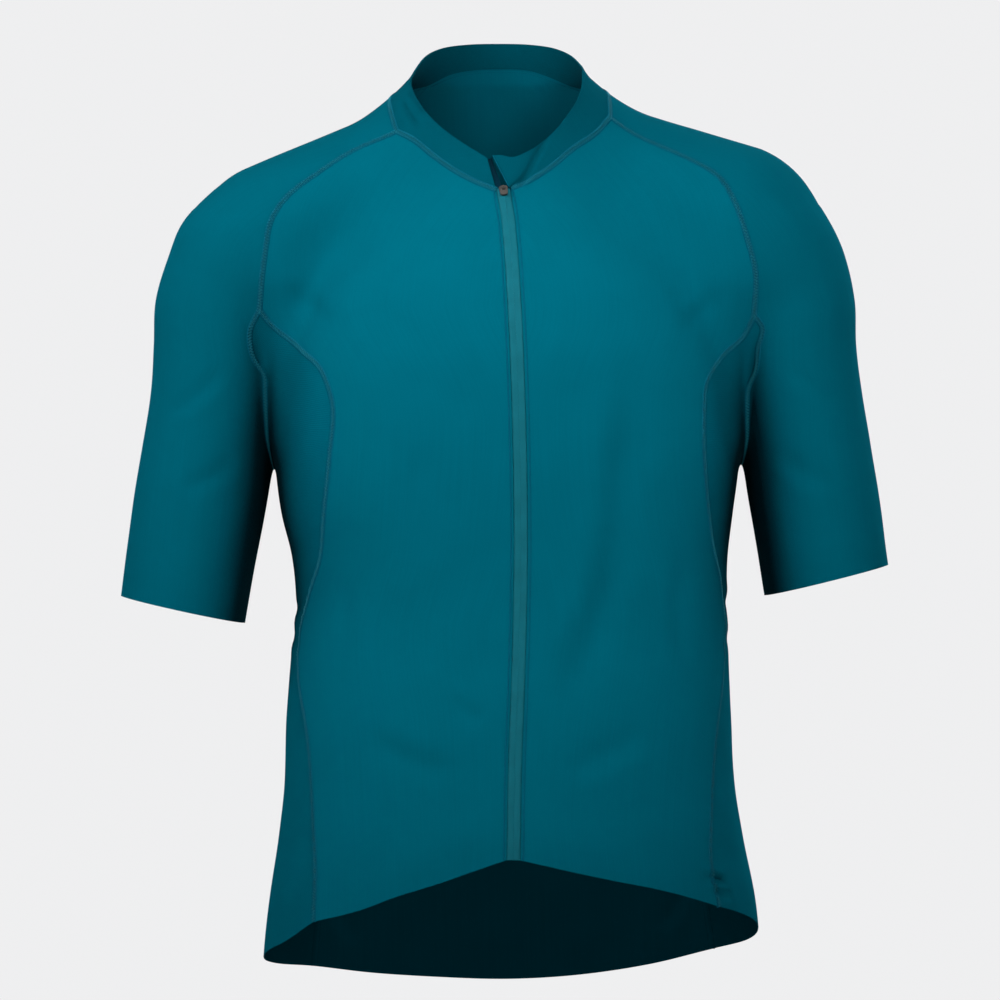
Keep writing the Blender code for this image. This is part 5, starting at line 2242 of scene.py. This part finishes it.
@dataclass(frozen=True)
class Lamp:
    """A soft light: its angles round and above its aim, distance, width, power and spread."""

    name: str
    azimuth: float
    height: float
    distance: float
    size: float
    power: float
    aim: float = -0.25
    spread: float = 180.0


LAMPS = (
    Lamp("left_box", -65, 28, 1.6, 0.9, 14.5, -0.12),
    Lamp("right_box", 65, 12, 2.0, 1.2, 2.2),
    Lamp("left_beam", -30, 28, 1.6, 0.6, 0.75, -0.26, 40.0),
    Lamp("right_beam", 30, 28, 1.6, 0.6, 1.15, -0.26, 40.0),
    Lamp("under_box", 0, -80, 1.6, 1.0, 4.0),
    Lamp("back_box", 140, 28, 1.8, 1.0, 30.0),
    Lamp("back_fill", -145, 15, 2.0, 1.2, 14.0),
)


@dataclass
class Studio:
    """The camera, the soft lights and the pale floor, in metres."""

    camera_x: float = -0.00468
    camera_z: float = -0.2964
    distance: float = 3.4
    # the lens and the sensor's width, in millimetres
    lens: float = 157.0
    sensor: float = 36.0
    floor_level: float = -2.6
    floor_half: float = 6.0
    floor_colour: Colour = (0.2, 0.2, 0.2)
    floor_roughness: float = 0.9
    floor_glow: float = 0.92
    backdrop: Colour = (0.86, 0.862, 0.87)
    air: Colour = (0.03, 0.03, 0.03)

    def build(self) -> None:
        """Sets up the studio."""
        bpy.context.scene.view_settings.view_transform = "Standard"
        self.camera()
        for lamp in LAMPS:
            self.light(lamp)
        self.floor()
        self.sky()

    def sky(self) -> None:
        """Sets a pale sky that lights the cloth less than it shows."""
        world = bpy.data.worlds.new("pale_sky")
        world.use_nodes = True
        tree = world.node_tree
        seen = tree.nodes["Background"]
        seen.inputs["Color"].default_value = (*self.backdrop, 1.0)
        felt = tree.nodes.new("ShaderNodeBackground")
        felt.inputs["Color"].default_value = (*self.air, 1.0)
        path = tree.nodes.new("ShaderNodeLightPath")
        mix = tree.nodes.new("ShaderNodeMixShader")
        tree.links.new(path.outputs["Is Camera Ray"], mix.inputs[0])
        tree.links.new(felt.outputs[0], mix.inputs[1])
        tree.links.new(seen.outputs[0], mix.inputs[2])
        tree.links.new(mix.outputs[0], tree.nodes["World Output"].inputs["Surface"])
        bpy.context.scene.world = world

    def camera(self) -> None:
        """Places the level camera in front of the garment."""
        data = bpy.data.cameras.new("camera")
        data.lens = self.lens
        data.sensor_width = self.sensor
        data.sensor_fit = "HORIZONTAL"
        camera = bpy.data.objects.new("camera", data)
        camera.location = (self.camera_x, -self.distance, self.camera_z)
        camera.rotation_euler = (math.pi / 2, 0, 0)
        bpy.context.scene.collection.objects.link(camera)
        bpy.context.scene.camera = camera

    def light(self, lamp: Lamp) -> None:
        """Adds a square soft light that faces the garment.

        Args:
            lamp: its sizes.
        """
        data = bpy.data.lights.new(lamp.name, "AREA")
        data.size = lamp.size
        data.energy = lamp.power
        data.spread = math.radians(lamp.spread)
        thing = bpy.data.objects.new(lamp.name, data)
        turn, rise = math.radians(lamp.azimuth), math.radians(lamp.height)
        flat = lamp.distance * math.cos(rise)
        up = lamp.distance * math.sin(rise)
        thing.location = (flat * math.sin(turn), -flat * math.cos(turn), up + lamp.aim)
        thing.rotation_euler = (math.pi / 2 - rise, 0, turn)
        thing.visible_camera = False
        bpy.context.scene.collection.objects.link(thing)

    def floor(self) -> None:
        """Adds the plain pale floor, far below the garment and as light as the sky."""
        mesh = bpy.data.meshes.new("floor")
        half, level = self.floor_half, self.floor_level
        corners = [(-half, -half, level), (half, -half, level), (half, half, level), (-half, half, level)]
        mesh.from_pydata(corners, [], [(0, 1, 2, 3)])
        floor = bpy.data.objects.new("floor", mesh)
        made = Nodes("pale_floor")
        made.set(Base_Color=(*self.floor_colour, 1.0), Roughness=self.floor_roughness)
        made.set(Specular_IOR_Level=0.0, Emission_Color=(*self.backdrop, 1.0))
        made.set(Emission_Strength=self.floor_glow)
        mesh.materials.append(made.material)
        bpy.context.scene.collection.objects.link(floor)
        floor.visible_diffuse = False


FRONT_FOLDS = (
    Fold(
        [
            (95, -112, -172), (96.5, -113, -221), (92, -113, -266), (87.5, -108, -305), (77, -100, -372),
            (65.5, -101, -402), (45, -105, -451), (25.5, -106, -466),
        ],
        3.0, 14, 0.6, -1,
    ),
    Fold([(109, -90, -471), (93, -98, -480), (71, -102, -490), (41, -106, -505)], 1.4, 11, 0.6),
    Fold([(-110, -90, -474), (-89, -98, -487), (-70, -102, -496), (-32, -106, -506)], 1.4, 11, 0.6),
    Fold([(-42, -104, -441), (-30, -105, -458), (-14, -106, -462)], 1.1, 8),
    Fold([(-131, -84, -348), (-128, -84, -396), (-137, -80, -445)], 1.1, 9),
    Fold([(138, -78, -330), (134, -80, -380), (141, -74, -430)], 1.1, 9, 0.5, -1),
    Fold([(-60, -108, -250), (-68, -105, -300), (-60, -102, -345)], 0.9, 12),
    Fold([(143, -80, -583), (157, -72, -585), (171, -58, -589)], 2.0, 3.2, 0.7),
    Fold([(155, -74, -596), (165, -64, -597), (174, -54, -600)], 1.6, 3, 0.7),
    Fold([(-168, -60, -130), (-148, -74, -152), (-126, -88, -168)], 0.9, 8),
    Fold([(168, -60, -134), (150, -74, -155), (128, -88, -172)], 0.9, 8, 0.5, -1),
)

BACK_FOLDS = (
    Fold([(-150, 86, -205), (-98, 104, -262), (-44, 103, -300)], 1.6, 11),
    Fold([(152, 86, -200), (104, 103, -255), (52, 104, -288)], 1.6, 11, 0.5, -1),
    Fold([(-112, 84, -362), (-40, 92, -374), (34, 91, -368)], 1.9, 8, 0.6),
    Fold([(14, 92, -392), (74, 88, -385), (128, 76, -372)], 1.7, 7.5, 0.6, -1),
    Fold([(-132, 74, -396), (-88, 86, -402), (-42, 92, -399)], 1.3, 7, 0.6),
    Fold([(-6, 112, -118), (3, 112, -190), (-4, 104, -262)], 1.2, 12),
    Fold([(-96, 100, -82), (-66, 106, -128), (-52, 108, -172)], 0.9, 9),
    Fold([(92, 100, -84), (68, 106, -132), (50, 108, -170)], 0.9, 9, 0.5, -1),
    Fold([(-150, 78, -600), (-132, 92, -630), (-118, 100, -655)], 1.0, 7),
    Fold([(152, 80, -590), (136, 92, -622), (122, 100, -646)], 1.0, 7, 0.5, -1),
)

SIDE_FOLDS = (
    Fold([(-156, -46, -372), (-168, 0, -381), (-158, 44, -374)], 1.2, 6, 0.6),
    Fold([(-155, -50, -410), (-167, -6, -402), (-160, 36, -404)], 1.0, 6, 0.6),
    Fold([(164, -40, -366), (171, 4, -378), (160, 46, -376)], 1.2, 6, 0.6),
    Fold([(160, -50, -412), (172, -4, -404), (163, 38, -408)], 1.0, 6, 0.6),
    Fold([(-177, 10, -300), (-172, 22, -330), (-168, 20, -356)], 0.9, 7),
    Fold([(178, 8, -298), (174, 22, -326), (170, 20, -352)], 0.9, 7),
)

SLEEVE_FOLDS = (
    Fold([(-214, -52, -192), (-238, -54, -216), (-262, -42, -232)], 1.0, 7),
    Fold([(-206, -44, -262), (-228, -53, -280), (-254, -50, -290)], 0.9, 8),
    Fold([(214, -52, -190), (238, -54, -212), (260, -44, -228)], 1.0, 7, 0.5, -1),
    Fold([(208, -46, -258), (230, -53, -276), (256, -48, -286)], 0.9, 8, 0.5, -1),
    Fold([(-212, 54, -196), (-240, 54, -222), (-264, 40, -238)], 1.3, 8),
    Fold([(212, 54, -194), (240, 54, -218), (262, 42, -234)], 1.3, 8, 0.5, -1),
    Fold([(-222, 52, -290), (-248, 50, -300), (-272, 34, -306)], 0.9, 8),
    Fold([(222, 52, -284), (248, 50, -296), (270, 36, -302)], 0.9, 8, 0.5, -1),
)

COLLAR_FOLDS = (
    Fold([(-82, -34, 13), (-75, -46, -1), (-66, -54, -14)], 1.2, 3.2, 0.7),
    Fold([(-78, -32, 20), (-70, -44, 8), (-60, -53, -6)], 1.0, 2.6, 0.7),
    Fold([(31, -66, -20), (22, -72, -35), (13, -80, -52), (6, -82, -60)], 1.5, 2.6, 0.5, 1, 0.12),
)

FOLDS = FRONT_FOLDS + BACK_FOLDS + SIDE_FOLDS + SLEEVE_FOLDS + COLLAR_FOLDS


def main() -> None:
    """Builds every piece in order and reports each."""
    logging.basicConfig(level=logging.INFO, format="%(message)s")
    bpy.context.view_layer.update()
    figure = Figure()
    finishes = Finishes()
    pattern = Pattern(figure)
    log.info("pattern: %d seams", len(pattern.rows))
    drape = Drape(figure, FOLDS, pattern.sewn_rows())
    shop = Workshop(figure, pattern, Grids(figure), drape, finishes)
    Studio().build()
    back = Trunk(shop).build()
    Sleeves(shop).build()
    Collar(shop).build()
    Zip(shop).build()
    RearPockets(shop).build(back)
    SeamWork(shop).build()


if __name__ == "__main__":
    main()
